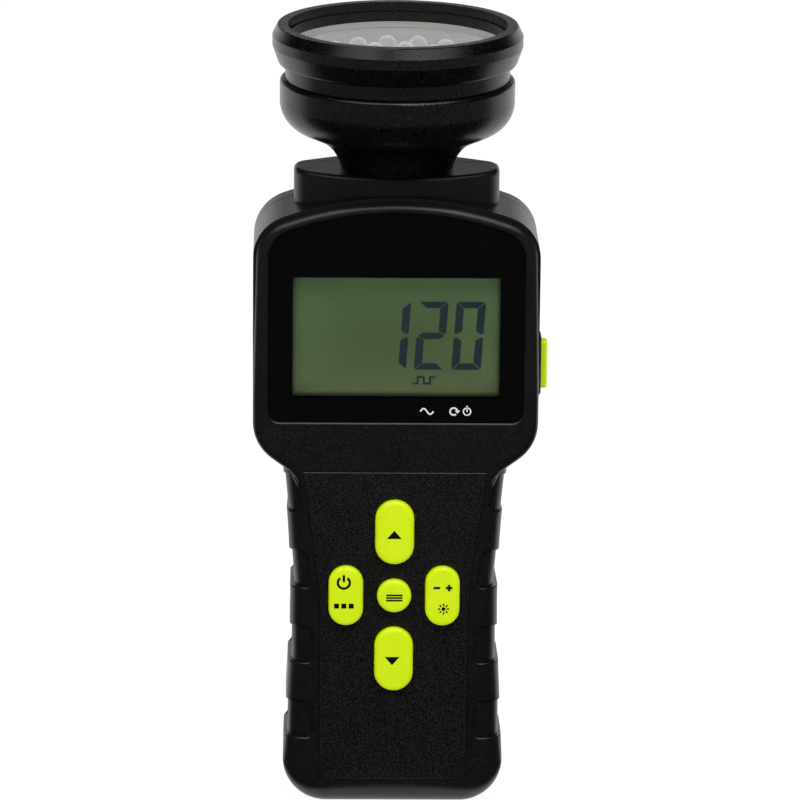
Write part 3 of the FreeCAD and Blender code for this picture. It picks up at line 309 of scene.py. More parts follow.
cards.visible_shadow = False


# ---- Housing: front cover, rear cover and battery door ----
# Two moulded shells of black ABS with a fine spark-eroded skin, screwed together from behind,
# and the door that clips over the cells in the same skin. The edges of the finger pockets are
# rounded over, which the skin's relief draws along the CAD model's sharp ones.
SKIN_BLACK = rgb(0.0042, 0.0042, 0.0044)
SKIN_SPECK_AND_GLINT = rgb(0.0125, 0.0125, 0.0128)
SKIN_GRAIN = 0.00038
SKIN_RELIEF = 0.00003
POCKET_LOW_Z = 0.0190
POCKET_PITCH = 0.0205
POCKET_HALF_H = 0.0049
POCKET_COUNT = 4
POCKET_INNER_X = 0.02115
POCKET_BEND_Z = 0.05775
POCKET_SPREAD = 0.1343
POCKET_BACK_Y = 0.0125
POCKET_CORNER = 0.0016
POCKET_LEAN = math.sin(math.radians(7.0))
POCKET_END_FADE = 0.001
RIM_WIDTH = 0.00050
RIM_HEIGHT = 0.00034


def dress(material, *nodes):
    """Gives CAD nodes this material."""
    for node in nodes:
        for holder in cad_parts[node].material_slots:
            holder.material = material


skin, skin_shader, place = new_finish("moulded_black", {"IOR": 1.46})
grain = place.noise(SKIN_GRAIN, detail=3.0, roughness=0.6)
cloud = place.noise(0.018, detail=3.0)
x, y, z = place.axes()
front_low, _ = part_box("front_cover")
inner = POCKET_INNER_X + POCKET_SPREAD * (z - POCKET_BEND_Z).larger(0.0)
climb = z + (y - front_low.y) * POCKET_LEAN - (POCKET_LOW_Z + POCKET_HALF_H)
outside = [inner + POCKET_CORNER - abs(x),
           climb.to_and_fro(POCKET_PITCH / 2) - (POCKET_HALF_H - POCKET_CORNER),
           y - (POCKET_BACK_Y - POCKET_CORNER)]
to_pocket = sum(part.larger(0.0) ** 2.0 for part in outside) ** 0.5 - POCKET_CORNER
past_ends = abs(climb - POCKET_PITCH * (POCKET_COUNT - 1) / 2) - POCKET_PITCH * POCKET_COUNT / 2
rim = to_pocket.above(0.0, RIM_WIDTH).larger(past_ends.above(-POCKET_END_FADE, 0.0))
# The lighter specks of its colour are partly the skin's own mottle and partly painted glints of its
# spark-eroded grain.
feed(skin_shader, {
    "Base Color": (grain * 0.85 + cloud * 0.15).above(0.42, 0.72).blend(SKIN_BLACK, SKIN_SPECK_AND_GLINT),
    "Roughness": 0.29 + 0.06 * cloud + 0.06 * grain,
    "Normal": (rim + grain * (SKIN_RELIEF / RIM_HEIGHT)).bump(RIM_HEIGHT),
})
dress(skin, "front_cover", "rear_cover", "battery_door")


# ---- Display window ----
# A polished acrylic panel, printed black from behind round a clear sight opening and glued into
# its seat in the front cover.
SIGHT_HALF_W = 0.02657
SIGHT_HALF_H = 0.0159
SIGHT_Z = 0.12685
SIGHT_SOFT = 0.00012

window, window_shader, place = new_finish("window_black", {"IOR": 1.49})
x, _, z = place.axes()
from_side = abs(x) - SIGHT_HALF_W
from_end = abs(z - SIGHT_Z) - SIGHT_HALF_H
printed = from_side.larger(from_end).above(-SIGHT_SOFT, SIGHT_SOFT)
dust = place.noise(0.004, detail=4.0).above(0.5, 0.8)
feed(window_shader, {
    "Base Color": dust.blend(rgb(0.0022, 0.0022, 0.0024), rgb(0.0030, 0.0030, 0.0032)),
    "Roughness": 0.05 + 0.05 * dust,
    "Alpha": 0.05 + 0.95 * printed,
})
dress(window, "display_window")


# ---- Display glass ----
# Reflective liquid-crystal glass on a grey-green polariser, seated behind the front wall. Its
# colour is painted lighter towards its edges, painted light that makes up for the shade of its
# recess, and a narrow rim of it under the opening's wall gets painted shade.
GLASS_RIM_SHADE = 0.0011
GLASS_RIM_START = -0.0004
# Tints at the top, halfway down and at the bottom of the sight opening.
MIDDLE_TINTS = ((0.0, (0.078, 0.138, 0.050)), (0.5, (0.072, 0.112, 0.038)),
                (1.0, (0.084, 0.114, 0.044)))
# Painted light: these edge tints are lighter to make up for the recess's shade at the edges.
PAINTED_LIGHT_EDGE_TINTS = ((0.0, (0.122, 0.255, 0.094)), (0.5, (0.112, 0.195, 0.075)),
              (1.0, (0.150, 0.215, 0.092)))

glass, glass_shader, place = new_finish("display_grey", {"IOR": 1.5})
x, _, z = place.axes()
across = abs(x)
off_middle = abs(z - SIGHT_Z)
down = (SIGHT_Z + SIGHT_HALF_H - z) / (2 * SIGHT_HALF_H)
outwards = (across / SIGHT_HALF_W).larger(off_middle / SIGHT_HALF_H) ** 3.0
middle_tint = down.node("ValToRGB", {"stops": MIDDLE_TINTS}, {0: down})
painted_light_edge_tint = down.node("ValToRGB", {"stops": PAINTED_LIGHT_EDGE_TINTS}, {0: down})
inside_rim = (SIGHT_HALF_W - across).smaller(SIGHT_HALF_H - off_middle)
mottle = place.noise(0.0004)
tint = (outwards * 0.8 + mottle * 0.2).blend(middle_tint, painted_light_edge_tint)
# Painted shade: a narrow rim under the opening's wall gets a darker colour.
feed(glass_shader, {
    "Base Color": inside_rim.above(GLASS_RIM_START, GLASS_RIM_SHADE).blend(
        rgb(0.025, 0.045, 0.018), tint),
    "Roughness": 0.32 + 0.2 * mottle,
})
dress(glass, "display_glass")


# ---- Display segments ----
# Slanted seven-segment digits that the driven crystal turns dark: 1, 2 and 0. The unit under them
# is a plain train of pulses.
SEGMENT_TOP_Z = 0.13565
DIGIT_H = 0.0180
DIGIT_W = 0.00755
DIGIT_PITCH = 0.0096
LAST_DIGIT_RIGHT_X = 0.02295
BAR_T = 0.0017
POST_T = 0.0020
SEGMENT_GAP = 0.00010
WAIST_GAP = 0.00040
SEGMENT_PLATE = 0.00002
SLANT = 0.067
READING = "120"
LIT = {"1": "bc", "2": "abged", "0": "abcdef"}
PULSE_LEFT_X = 0.0040
PULSE_LOW_Z = 0.1137
PULSE_H = 0.0022
PULSE_STEP = 0.0016
PULSE_STROKE = 0.00050
PULSE_STEPS = 4


def segment_outline(letter):
    """Points (x, z) of one segment in an upright digit whose top left corner is the origin."""
    w, h, g = DIGIT_W, DIGIT_H / 2, SEGMENT_GAP
    b, p = BAR_T, POST_T
    top = [(g * 2, 0), (w - g * 2, 0), (w - p - g, -b), (p + g, -b)]
    right = [(w, -g * 2), (w, -h + WAIST_GAP + b * 0.2), (w - p * 0.3, -h + WAIST_GAP),
             (w - p, -h + WAIST_GAP + b * 0.5), (w - p, -b - g)]
    middle = [(p * 0.8, -h + b / 2), (w - p * 0.8, -h + b / 2), (w - p * 0.2, -h),
              (w - p * 0.8, -h - b / 2), (p * 0.8, -h - b / 2), (p * 0.2, -h)]
    left = [(w - x, z) for x, z in right]
    shapes = {"a": top, "b": right, "f": left, "g": middle,
              "d": [(x, -2 * h - z) for x, z in top],
              "c": [(x, -2 * h - z) for x, z in right],
              "e": [(x, -2 * h - z) for x, z in left]}
    return shapes[letter]


def plate_mesh(name, outlines, y, thickness):
    """Thin closed plates with outlines (x, z), front face at y and the back face behind it."""
    shape = bmesh.new()
    for outline in outlines:
        front = [shape.verts.new((x, y, z)) for x, z in outline]
        back = [shape.verts.new((x, y + thickness, z)) for x, z in outline]
        shape.faces.new(front)
        shape.faces.new(back[::-1])
        for i in range(len(outline)):
            j = (i + 1) % len(outline)
            shape.faces.new((front[i], back[i], back[j], front[j]))
    bmesh.ops.recalc_face_normals(shape, faces=shape.faces)
    mesh = bpy.data.meshes.new(name)
    shape.to_mesh(mesh)
    shape.free()
    return mesh


def bar(x, z, width, height):
    """Outline of an upright bar about its centre."""
    return [(x - width / 2, z - height / 2), (x + width / 2, z - height / 2),
            (x + width / 2, z + height / 2), (x - width / 2, z + height / 2)]


lit_segments = []
for index, digit in enumerate(READING):
    left_x = LAST_DIGIT_RIGHT_X - (len(READING) - 1 - index) * DIGIT_PITCH - DIGIT_W
    for letter in LIT[digit]:
        lit_segments.append([(left_x + x + z * SLANT, SEGMENT_TOP_Z + z)
                             for x, z in segment_outline(letter)])
for step in range(PULSE_STEPS):
    left_x = PULSE_LEFT_X + step * PULSE_STEP
    flat_z = PULSE_LOW_Z + (PULSE_H - PULSE_STROKE if step % 2 else 0.0) + PULSE_STROKE / 2
    lit_segments.append(bar(left_x + PULSE_STEP / 2, flat_z, PULSE_STEP - PULSE_STROKE,
                            PULSE_STROKE))
    if step < PULSE_STEPS - 1:
        lit_segments.append(bar(left_x + PULSE_STEP, PULSE_LOW_Z + PULSE_H / 2, PULSE_STROKE,
                                PULSE_H))
segment_finish, segment_shader, place = new_finish("segment_dark", {"Roughness": 0.35})
fade = place.noise(0.0005)
feed(segment_shader, {"Base Color": fade.blend(rgb(0.015, 0.030, 0.035), rgb(0.022, 0.040, 0.046))})
glass_low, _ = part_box("display_glass")
segment_mesh = plate_mesh("display_segments", lit_segments, glass_low.y - 2 * SEGMENT_PLATE,
                          SEGMENT_PLATE)
segments = new_piece("display_segments", segment_mesh, segment_finish)
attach(segments, "instrument")


# ---- Window marks ----
# Two small white signs under the display, printed on the window: a wave for cycles, and a turning
# arrow beside a clock for turns in a time.
MARK_INK_T = 0.00002
MARK_Z = 0.10745
WAVE_X = 0.0080
WAVE_LENGTH = 0.0034
WAVE_H = 0.00075
MARK_STROKE = 0.00038
CLOCK_STROKE = MARK_STROKE * 0.8
TURN_X = 0.0149
CLOCK_X = 0.0183
MARK_R = 0.00095
WAVE_STEPS = 32
# The arrow's head, and the clock's hand and knob, as shares of MARK_R.
HEAD_OUT = 1.7
HEAD_IN = 0.25
HEAD_TIP = 0.55
HAND_AT = 0.3
HAND_H = 0.8
KNOB_AT = 1.45


def band(points, stroke):
    """Outline of a line of this width through points (x, z)."""
    sides = ([], [])
    for i, (x, z) in enumerate(points):
        before = points[max(i - 1, 0)]
        after = points[min(i + 1, len(points) - 1)]
        along = Vector((after[0] - before[0], after[1] - before[1])).normalized() * stroke / 2
        sides[0].append((x - along.y, z + along.x))
        sides[1].append((x + along.y, z - along.x))
    return sides[0] + sides[1][::-1]


def arc(x, z, radius, start, end, steps=24):
    """Points along an arc, from start to end in degrees anticlockwise."""
    angles = [math.radians(start + (end - start) * i / steps) for i in range(steps + 1)]
    return [(x + radius * math.cos(angle), z + radius * math.sin(angle)) for angle in angles]


wave = [(WAVE_X + WAVE_LENGTH * (i / WAVE_STEPS - 0.5),
         MARK_Z + WAVE_H * math.sin(math.tau * i / WAVE_STEPS)) for i in range(WAVE_STEPS + 1)]
arrow_head = [(TURN_X + MARK_R, MARK_Z - MARK_R * HEAD_TIP),
              (TURN_X + MARK_R * HEAD_OUT, MARK_Z + MARK_R * HEAD_IN),
              (TURN_X + MARK_R * HEAD_IN, MARK_Z + MARK_R * HEAD_IN)]
marks = [band(wave, MARK_STROKE),
         band(arc(TURN_X, MARK_Z, MARK_R, 15, 310), MARK_STROKE),
         arrow_head,
         band(arc(CLOCK_X, MARK_Z, MARK_R, 92, 268), CLOCK_STROKE),
         band(arc(CLOCK_X, MARK_Z, MARK_R, -88, 88), CLOCK_STROKE),
         bar(CLOCK_X, MARK_Z + MARK_R * HAND_AT, CLOCK_STROKE, MARK_R * HAND_H),
         bar(CLOCK_X, MARK_Z + MARK_R * KNOB_AT, MARK_STROKE, CLOCK_STROKE)]
ink_finish, ink_shader, place = new_finish("mark_white", {"Roughness": 0.4})
wear_and_painted_light = place.noise(0.0004, detail=3.0)
feed(ink_shader, {"Base Color": wear_and_painted_light.blend(rgb(0.78, 0.78, 0.78), rgb(0.88, 0.88, 0.88))})
window_low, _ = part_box("display_window")
ink = plate_mesh("window_marks", marks, window_low.y - 2 * MARK_INK_T, MARK_INK_T)
window_marks = new_piece("window_marks", ink, ink_finish)
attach(window_marks, "instrument")


# ---- Display holder, backlight and contact strip ----
# A black moulded holder boxes in the glass; a milky light panel and a striped rubber connector
# lie behind it. The bezel of the side button is moulded in the holder's plastic.
holder, holder_shader, place = new_finish("black_inner", {"IOR": 1.46})
rub = place.noise(0.0006, detail=3.0)
feed(holder_shader, {
    "Base Color": rub.blend(rgb(0.010, 0.010, 0.011), rgb(0.016, 0.016, 0.017)),
    "Roughness": 0.45 + 0.15 * rub,
    "Normal": rub.bump(0.00002),
})
dress(holder, "display_frame", "side_base")

milky, milky_shader, place = new_finish("diffuser", {"IOR": 1.49})
dots = place.node("TexVoronoi", {}, {"Vector": place, "Scale": 900.0})
feed(milky_shader, {
    "Base Color": dots.above(0.1, 0.5).blend(rgb(0.85, 0.87, 0.84), rgb(0.72, 0.75, 0.72)),
    "Roughness": 0.35 + 0.1 * dots,
})
dress(milky, "backlight_panel")

strip, strip_shader, place = new_finish("strip_rubber", {"Roughness": 0.6})
bands = place.node("TexWave", {"bands_direction": "X"}, {"Vector": place, "Scale": 1000.0})
feed(strip_shader, {
    "Base Color": bands.above(0.4, 0.6).blend(rgb(0.55, 0.36, 0.38), rgb(0.03, 0.03, 0.03)),
})
dress(strip, "contact_strip")


# ---- Keypad overlay ----
# A pebbled polycarbonate film with openings for the keys, stuck into a shallow recess of the front
# cover.
film, film_shader, place = new_finish("overlay_black", {"IOR": 1.5})
pebble = place.noise(0.00042, roughness=0.65)
lump = place.node("TexVoronoi", {"feature": "SMOOTH_F1"}, {"Vector": place, "Scale": 2300.0})
relief = pebble * 0.7 + lump * 0.5
# The pebbles' lighter colour is partly their own mottle and partly painted glints.
feed(film_shader, {
    "Base Color": relief.above(0.40, 0.75).blend(rgb(0.0016, 0.0016, 0.0017),
                                                 rgb(0.0125, 0.0125, 0.0128)),
    "Roughness": 0.32 + 0.2 * pebble,
    "Normal": relief.bump(0.00010),
})
dress(film, "keypad_overlay")


# ---- Keys ----
# Five caps moulded in lime ABS with a soft coat, each guided by the front cover and sprung by its
# switch. Their printed signs are plain arrows, a power sign with three stores, three bars, a minus
# and a plus, and a lamp.
LEGEND_T = 0.00002
STROKE = 0.00062
UP_AT = (-0.0001, 0.0750)
DOWN_AT = (-0.0004, 0.0407)
ARROW_HALF_W = 0.0019
ARROW_H = 0.0022
POWER_AT = (-0.01305, 0.06195)
POWER_R = 0.00155
STORES_AT = (-0.0130, 0.05565)
STORE_PITCH = 0.0019
STORE_SIDE = 0.0013
BARS_AT = (0.00005, 0.0579)
BAR_PITCH = 0.00070
BAR_W = 0.0042
SIGNS_AT = (0.0126, 0.06065)
SIGN_REACH = 0.0016
SIGN_W = 0.0017
STUB_AT = 0.00057
STUB_H = 0.00060
LAMP_AT = (0.0128, 0.05495)
LAMP_R = 0.00052
RAY_IN = 0.00084
RAY_OUT = 0.00145

lime, lime_shader, place = new_finish("lime", {"IOR": 1.45})
touch = place.noise(0.0007, detail=3.0)
tone = place.noise(0.006)
feed(lime_shader, {
    "Base Color": tone.above(0.3, 0.7).blend(rgb(0.63, 0.83, 0.001), rgb(0.67, 0.87, 0.003)),
    "Roughness": 0.17 + 0.06 * touch,
    "Normal": touch.bump(0.000008),
})
dress(lime, "key_up", "key_down", "key_power", "key_fine", "key_function")


def arrow(at, height):
    """Outline of a triangle about this point, on its head where the height is negative."""
    x, z = at
    foot_z, half_w = z - height / 2, math.copysign(ARROW_HALF_W, height)
    return [(x - half_w, foot_z), (x + half_w, foot_z), (x, z + height / 2)]


power_x, power_z = POWER_AT
stores_x, stores_z = STORES_AT
bars_x, bars_z = BARS_AT
signs_x, signs_z = SIGNS_AT
lamp_x, lamp_z = LAMP_AT
rays = []
for i in range(8):
    ray = Vector((math.cos(i * math.pi / 4), math.sin(i * math.pi / 4)))
    rays.append(band([(lamp_x + ray.x * RAY_IN, lamp_z + ray.y * RAY_IN),
                      (lamp_x + ray.x * RAY_OUT, lamp_z + ray.y * RAY_OUT)], STROKE * 0.6))
stores = [bar(stores_x + i * STORE_PITCH, stores_z, STORE_SIDE, STORE_SIDE) for i in (-1, 0, 1)]
legends = {
    "key_up": [arrow(UP_AT, ARROW_H)],
    "key_down": [arrow(DOWN_AT, -ARROW_H)],
    "key_power": [band(arc(power_x, power_z, POWER_R, 125, 415), STROKE),
                  bar(power_x, power_z + POWER_R * 0.75, STROKE, POWER_R * 1.2)] + stores,
    "key_function": [bar(bars_x, bars_z + i * BAR_PITCH, BAR_W, STROKE * 0.75) for i in (-1, 0, 1)],
    "key_fine": [bar(signs_x - SIGN_REACH, signs_z, SIGN_W, STROKE),
                 bar(signs_x + SIGN_REACH, signs_z, SIGN_W, STROKE),
                 bar(signs_x + SIGN_REACH, signs_z + STUB_AT, STROKE, STUB_H),
                 bar(signs_x + SIGN_REACH, signs_z - STUB_AT, STROKE, STUB_H),
                 arc(lamp_x, lamp_z, LAMP_R, 0, 345, 23)] + rays,
}
legend_finish, legend_shader, place = new_finish("legend_black", {"Roughness": 0.45,
                                                                  "Specular IOR Level": 0.2})
wear_and_painted_light = place.noise(0.0003, detail=3.0)
feed(legend_shader, {"Base Color": wear_and_painted_light.blend(rgb(0.002, 0.004, 0.001), rgb(0.005, 0.009, 0.002))})
for key_name, shapes in legends.items():
    key_low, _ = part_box(key_name)
    print_mesh = plate_mesh(key_name + "_legend", shapes, key_low.y - 2 * LEGEND_T, LEGEND_T)
    legend = new_piece(key_name + "_legend", print_mesh, legend_finish)
    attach(legend, key_name + "_body")


# ---- Side button ----
# A key moulded in lime ABS, a little duller than the front ones. It slides in a black bezel on the
# right flank, and the switch behind springs it back.
side_lime, side_shader, place = new_finish("lime_side", {"IOR": 1.45, "Specular IOR Level": 0.25})
touch = place.noise(0.0007, detail=3.0)
feed(side_shader, {
    "Base Color": touch.blend(rgb(0.62, 0.86, 0.001), rgb(0.68, 0.92, 0.003)),
    "Roughness": 0.36 + 0.12 * touch,
    "Normal": touch.bump(0.000012),
})
dress(side_lime, "side_button")


# ---- Switches and boards ----
# Black tact switches, the controller and the parts that drive the lamps, soldered to two green
# glass-fibre boards with a pin strip between them, and the plug and wires of the lamp board.
# Each plain finish has its darker and lighter colour, size of specks, roughness and pieces.
PLAIN_FINISHES = {
    "switch_black": (rgb(0.015, 0.015, 0.015), rgb(0.03, 0.03, 0.03), 0.0003, 0.5,
                     ("key_switches", "side_switch", "board_link")),
    "chip_black": (rgb(0.012, 0.012, 0.013), rgb(0.025, 0.025, 0.026), 0.0002, 0.55,
                   ("controller_chip",)),
    "coil_black": (rgb(0.03, 0.03, 0.03), rgb(0.07, 0.07, 0.07), 0.0004, 0.7, ("drive_coil",)),
    "plug_white": (rgb(0.70, 0.69, 0.64), rgb(0.78, 0.77, 0.73), 0.001, 0.5, ("wire_plug",)),
    "wire_red": (rgb(0.40, 0.02, 0.02), rgb(0.50, 0.04, 0.03), 0.002, 0.45, ("head_wires",)),
}
for name, (darker, lighter, speck_size, roughness, pieces) in PLAIN_FINISHES.items():
    plain, plain_shader, place = new_finish(name, {"Roughness": roughness})
    feed(plain_shader, {"Base Color": place.noise(speck_size).blend(darker, lighter)})
    dress(plain, *pieces)

board, board_shader, place = new_finish("circuit_green", {"IOR": 1.5})
track = place.node("TexVoronoi", {"feature": "DISTANCE_TO_EDGE"}, {"Vector": place, "Scale": 260.0})
feed(board_shader, {
    "Base Color": track.above(0.04, 0.07).blend(rgb(0.03, 0.22, 0.09), rgb(0.012, 0.12, 0.05)),
    "Roughness": 0.30 + 0.2 * track,
})
dress(board, "main_board", "driver_board")

sleeve, sleeve_shader, place = new_finish("capacitor_sleeve", {"IOR": 1.5})
wrap = place.noise(0.003)
feed(sleeve_shader, {
    "Base Color": wrap.blend(rgb(0.02, 0.03, 0.09), rgb(0.04, 0.05, 0.13)),
    "Roughness": 0.25 + 0.1 * wrap,
})
dress(sleeve, "flash_capacitor")


# ---- Cells and their contacts ----
# Three AA cells in plain grey sleeves with a gilt shoulder, held between springs and plates of
# nickel-plated steel.
CELL_SHOULDER_Z = 0.0448
CELL_SHOULDER_SOFT = 0.0002

cell, cell_shader, place = new_finish("cell_sleeve", {"IOR": 1.5})
_, _, z = place.axes()
shoulder = z.above(CELL_SHOULDER_Z, CELL_SHOULDER_Z + CELL_SHOULDER_SOFT)
scuff = place.noise(0.002, detail=4.0)
feed(cell_shader, {
    "Base Color": shoulder.blend(rgb(0.09, 0.09, 0.10), rgb(0.55, 0.42, 0.22)),
    "Roughness": 0.25 + 0.2 * scuff,
    "Metallic": shoulder * 0.8,
})
dress(cell, "battery_cells")

nickel, nickel_shader, place = new_finish("spring_steel", {"Metallic": 1.0})
brushed = place.noise(0.0003, detail=3.0)
feed(nickel_shader, {
    "Base Color": brushed.blend(rgb(0.55, 0.55, 0.54), rgb(0.68, 0.67, 0.65)),
    "Roughness": 0.25 + 0.15 * brushed,
})
dress(nickel, "contact_springs", "contact_plates")


# ---- Screws, washer and nut ----
# Zinc-plated steel: the screws of the covers and boards, and the washer and nut that clamp the lamp
# head's stem inside the pedestal.
zinc, zinc_shader, place = new_finish("screw_steel", {"Metallic": 1.0})
turned = place.noise(0.0002, detail=3.0)
feed(zinc_shader, {
    "Base Color": turned.blend(rgb(0.40, 0.40, 0.41), rgb(0.52, 0.52, 0.53)),
    "Roughness": 0.28 + 0.2 * turned,
    "Normal": turned.bump(0.000006),
})
dress(zinc, "case_screws", "board_screws", "driver_screws", "head_washer", "head_nut")


# ---- Tripod socket ----
# A turned brass insert for a camera thread. The rear cover is moulded round it.
brass, brass_shader, place = new_finish("brass", {"Metallic": 1.0})
turned = place.noise(0.00025, detail=3.0)
feed(brass_shader, {
    "Base Color": turned.blend(rgb(0.62, 0.43, 0.17), rgb(0.74, 0.54, 0.24)),
    "Roughness": 0.22 + 0.18 * turned,
    "Normal": turned.bump(0.000005),
})
dress(brass, "tripod_socket")


# ---- Lamp head: bowl and bezel ring ----
# The bowl, the ring that screws on it and the thin ring that retains the lens, moulded in black
# plastic and turned to a satin that is finer than the housing's skin.
satin, satin_shader, place = new_finish("head_plastic", {"IOR": 1.46})
fine = place.noise(0.00042, roughness=0.6)
cloud = place.noise(0.02)
# The fine light specks of its colour are partly its own grain and partly painted glints.
feed(satin_shader, {
    "Base Color": fine.above(0.45, 0.75).blend(rgb(0.0006, 0.0006, 0.0006),
                                               rgb(0.0110, 0.0110, 0.0114)),
    "Roughness": 0.23 + 0.06 * fine + 0.04 * cloud,
    "Normal": fine.bump(0.000035),
})
dress(satin, "head_bowl", "bezel_ring", "lens_retainer")


# ---- Lens ----
# A flat disc of clear acrylic on a thin rubber gasket. Fine wear hazes it. Towards its edge it is
# painted hazier and so lighter, painted light that evens out the shade over the ring outside the
# liner's bore, and its rim is clouded cream.
LENS_LIGHTENED_R = 0.0195
LENS_LIGHTENED_SOFT = 0.0015
LENS_RIM_R = 0.0262
LENS_RIM_SOFT = 0.0003

clear, clear_shader, place = new_finish("lens_clear", {"IOR": 1.2, "Roughness": 0.35})
x, y, _ = place.axes()
from_axis = (x ** 2.0 + y ** 2.0) ** 0.5
wear_and_painted_light = from_axis.above(LENS_LIGHTENED_R, LENS_LIGHTENED_R + LENS_LIGHTENED_SOFT)
cream_rim = from_axis.above(LENS_RIM_R, LENS_RIM_R + LENS_RIM_SOFT)
smudge = place.noise(0.006, detail=4.0)
haze = smudge.blend(rgb(0.71, 0.71, 0.705), rgb(0.75, 0.75, 0.745))
# Painted light: towards its edge the lens is hazier and so lighter, evening out the shade over the
# ring outside the liner's bore.
feed(clear_shader, {
    "Base Color": cream_rim.blend(haze, rgb(0.80, 0.74, 0.64)),
    "Alpha": 0.285 + 0.03 * smudge + 0.07 * wear_and_painted_light + 0.08 * cream_rim,
})
dress(clear, "lens")

gasket, gasket_shader, place = new_finish("gasket_rubber", {"Roughness": 0.7})
speck = place.noise(0.0005)
feed(gasket_shader, {"Base Color": speck.blend(rgb(0.012, 0.012, 0.012), rgb(0.025, 0.025, 0.025))})
dress(gasket, "lens_gasket")


# ---- Reflector liner ----
# A sleeve moulded in plain grey plastic. It stands in the bowl and lines the lamp chamber between
# the board and the lens.
grey, grey_shader, place = new_finish("liner_grey", {"IOR": 1.49})
dusty = place.noise(0.006, detail=3.0)
feed(grey_shader, {
    "Base Color": dusty.blend(rgb(0.11, 0.11, 0.11), rgb(0.15, 0.15, 0.148)),
    "Roughness": 0.40 + 0.15 * dusty,
})
dress(grey, "reflector_liner")


# ---- Lamp board and lamps ----
# Thirty domed lamps of clear epoxy, soldered in three rings to a round board with a black mask. The
# board lies on a ledge in the bowl.
mask, mask_shader, place = new_finish("led_board_black", {"IOR": 1.5})
speck = place.noise(0.0006, detail=3.0)
feed(mask_shader, {
    "Base Color": speck.blend(rgb(0.008, 0.008, 0.009), rgb(0.016, 0.016, 0.017)),
    "Roughness": 0.35 + 0.2 * speck,
})
dress(mask, "led_board")

epoxy, epoxy_shader, place = new_finish("led_clear", {"IOR": 1.3, "Roughness": 0.2,
                                                      "Specular IOR Level": 0.1})
swirl = place.noise(0.0012, detail=3.0)
# Painted reflection: towards their outlines the domes show more of their white colour, standing in
# for the bright room that real epoxy bends there.
edge_on = place.node("LayerWeight", {}, {"Blend": 0.5}, output="Facing")
feed(epoxy_shader, {
    "Base Color": swirl.blend(rgb(0.88, 0.89, 0.90), rgb(0.97, 0.97, 0.97)),
    "Alpha": 0.10 + 0.10 * swirl + 0.80 * edge_on.above(0.15, 0.7),
})
dress(epoxy, "leds")


# ---- Lead frames ----
# Inside each lamp a stamped and plated frame: the anvil with the cup that holds the light source,
# and the thinner post beside it. One frame is drawn, here in millimetres, and then set out in three
# rings, each with its count, radius and first angle.
FRAME_T = 0.0005
FRAME_ANVIL_MM = [(-1.6, 0.0), (-1.1, 0.0), (-1.1, 2.3), (0.3, 3.3), (0.75, 3.3), (0.80, 4.3),
                  (-0.80, 4.3), (-0.95, 3.6), (-1.6, 2.7)]
FRAME_POST_MM = [(1.1, 0.0), (1.6, 0.0), (1.6, 3.7), (1.1, 4.1), (0.95, 3.7), (1.1, 3.4)]
CUP_LOW_R = 0.00065
CUP_TOP_R = 0.00095
CUP_H = 0.0007
LAMP_RINGS = {"inner": (4, 0.0052, 45.0), "middle": (10, 0.01285, 8.0), "outer": (16, 0.02050, 6.7)}

stampings = [[(x / 1000, z / 1000) for x, z in outline]
             for outline in (FRAME_ANVIL_MM, FRAME_POST_MM)]
stamped = plate_mesh("lead_frame", stampings, -FRAME_T / 2, FRAME_T)
cup_z = max(z for x, z in FRAME_ANVIL_MM) / 1000 + CUP_H / 2
shape = bmesh.new()
shape.from_mesh(stamped)
bmesh.ops.create_cone(shape, cap_ends=True, segments=24, radius1=CUP_LOW_R, radius2=CUP_TOP_R,
                      depth=CUP_H, matrix=Matrix.Translation((0.0, 0.0, cup_z)))
shape.to_mesh(stamped)
shape.free()
one_frame = bpy.data.objects.new("one_frame", stamped)
bpy.context.collection.objects.link(one_frame)

ring_tree = bpy.data.node_groups.new("frames_in_a_ring", "GeometryNodeTree")
ring_inputs = {name: ring_tree.interface.new_socket(name, in_out="INPUT",
                                                    socket_type="NodeSocket" + kind)
               for name, kind in (("Frame", "Object"), ("Count", "Int"), ("Radius", "Float"),
                                  ("Turn", "Float"), ("Height", "Float"), ("Finish", "Material"))}
ring_tree.interface.new_socket("Mesh", in_out="OUTPUT", socket_type="NodeSocketGeometry")


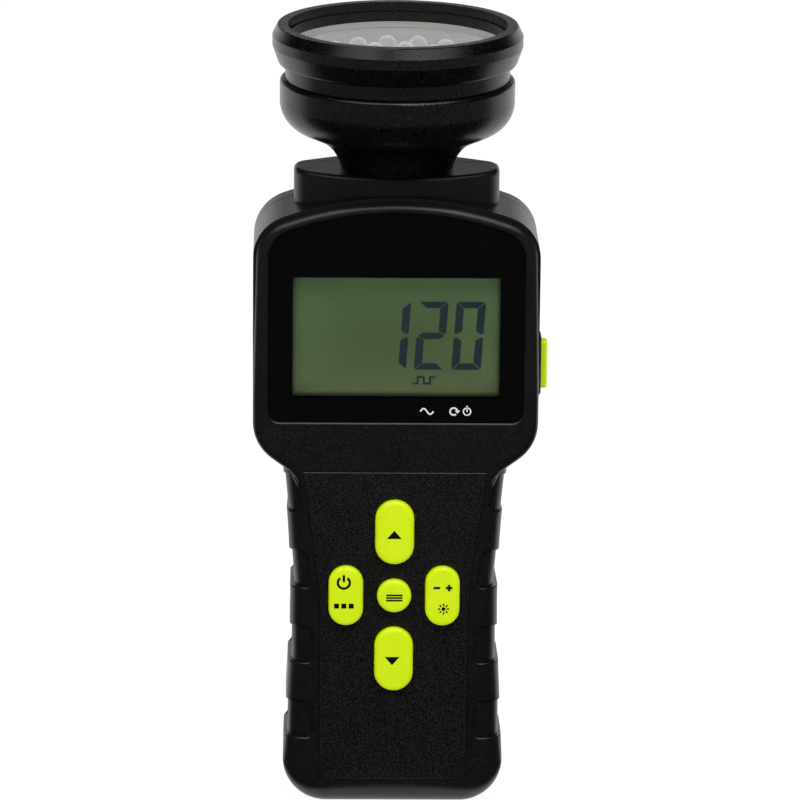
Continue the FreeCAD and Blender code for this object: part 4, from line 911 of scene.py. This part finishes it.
def ring_node(kind, **links):
    """Adds a node to the tree and links its inputs, named with their spaces left out."""
    made = ring_tree.nodes.new(kind)
    for name, source in links.items():
        socket = next(entry for entry in made.inputs if entry.name.replace(" ", "") == name)
        ring_tree.links.new(source, socket)
    return made


given = ring_tree.nodes.new("NodeGroupInput").outputs
circle = ring_node("GeometryNodeMeshCircle", Vertices=given["Count"], Radius=given["Radius"])
turn = ring_node("ShaderNodeCombineXYZ", Z=given["Turn"])
lift = ring_node("ShaderNodeCombineXYZ", Z=given["Height"])
placed = ring_node("GeometryNodeTransform", Geometry=circle.outputs[0], Translation=lift.outputs[0],
                   Rotation=turn.outputs[0])
source = ring_node("GeometryNodeObjectInfo", Object=given["Frame"])
copies = ring_node("GeometryNodeInstanceOnPoints", Points=placed.outputs[0],
                   Instance=source.outputs["Geometry"])
real = ring_node("GeometryNodeRealizeInstances", Geometry=copies.outputs[0])
painted = ring_node("GeometryNodeSetMaterial", Geometry=real.outputs[0], Material=given["Finish"])
ring_node("NodeGroupOutput", Mesh=painted.outputs[0])

plated, plated_shader, place = new_finish("frame_silver", {"Metallic": 1.0})
brushed = place.noise(0.0003)
feed(plated_shader, {
    "Base Color": brushed.blend(rgb(0.62, 0.62, 0.60), rgb(0.80, 0.80, 0.78)),
    "Roughness": 0.2 + 0.15 * brushed,
})
lamps_low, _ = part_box("leds")
for ring, (count, radius, first) in LAMP_RINGS.items():
    frames = bpy.data.objects.new("lead_frames_" + ring, bpy.data.meshes.new("lead_frames_" + ring))
    bpy.context.collection.objects.link(frames)
    nodes = frames.modifiers.new("frames_in_a_ring", "NODES")
    nodes.node_group = ring_tree
    settings = {"Frame": one_frame, "Count": count, "Radius": radius, "Turn": math.radians(first),
                "Height": lamps_low.z, "Finish": plated}
    for name, value in settings.items():
        nodes[ring_inputs[name].identifier] = value
    depsgraph = bpy.context.evaluated_depsgraph_get()
    result = bpy.data.meshes.new_from_object(frames.evaluated_get(depsgraph))
    frames.modifiers.clear()
    frames.data = result
    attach(frames, "instrument")
bpy.data.objects.remove(one_frame)
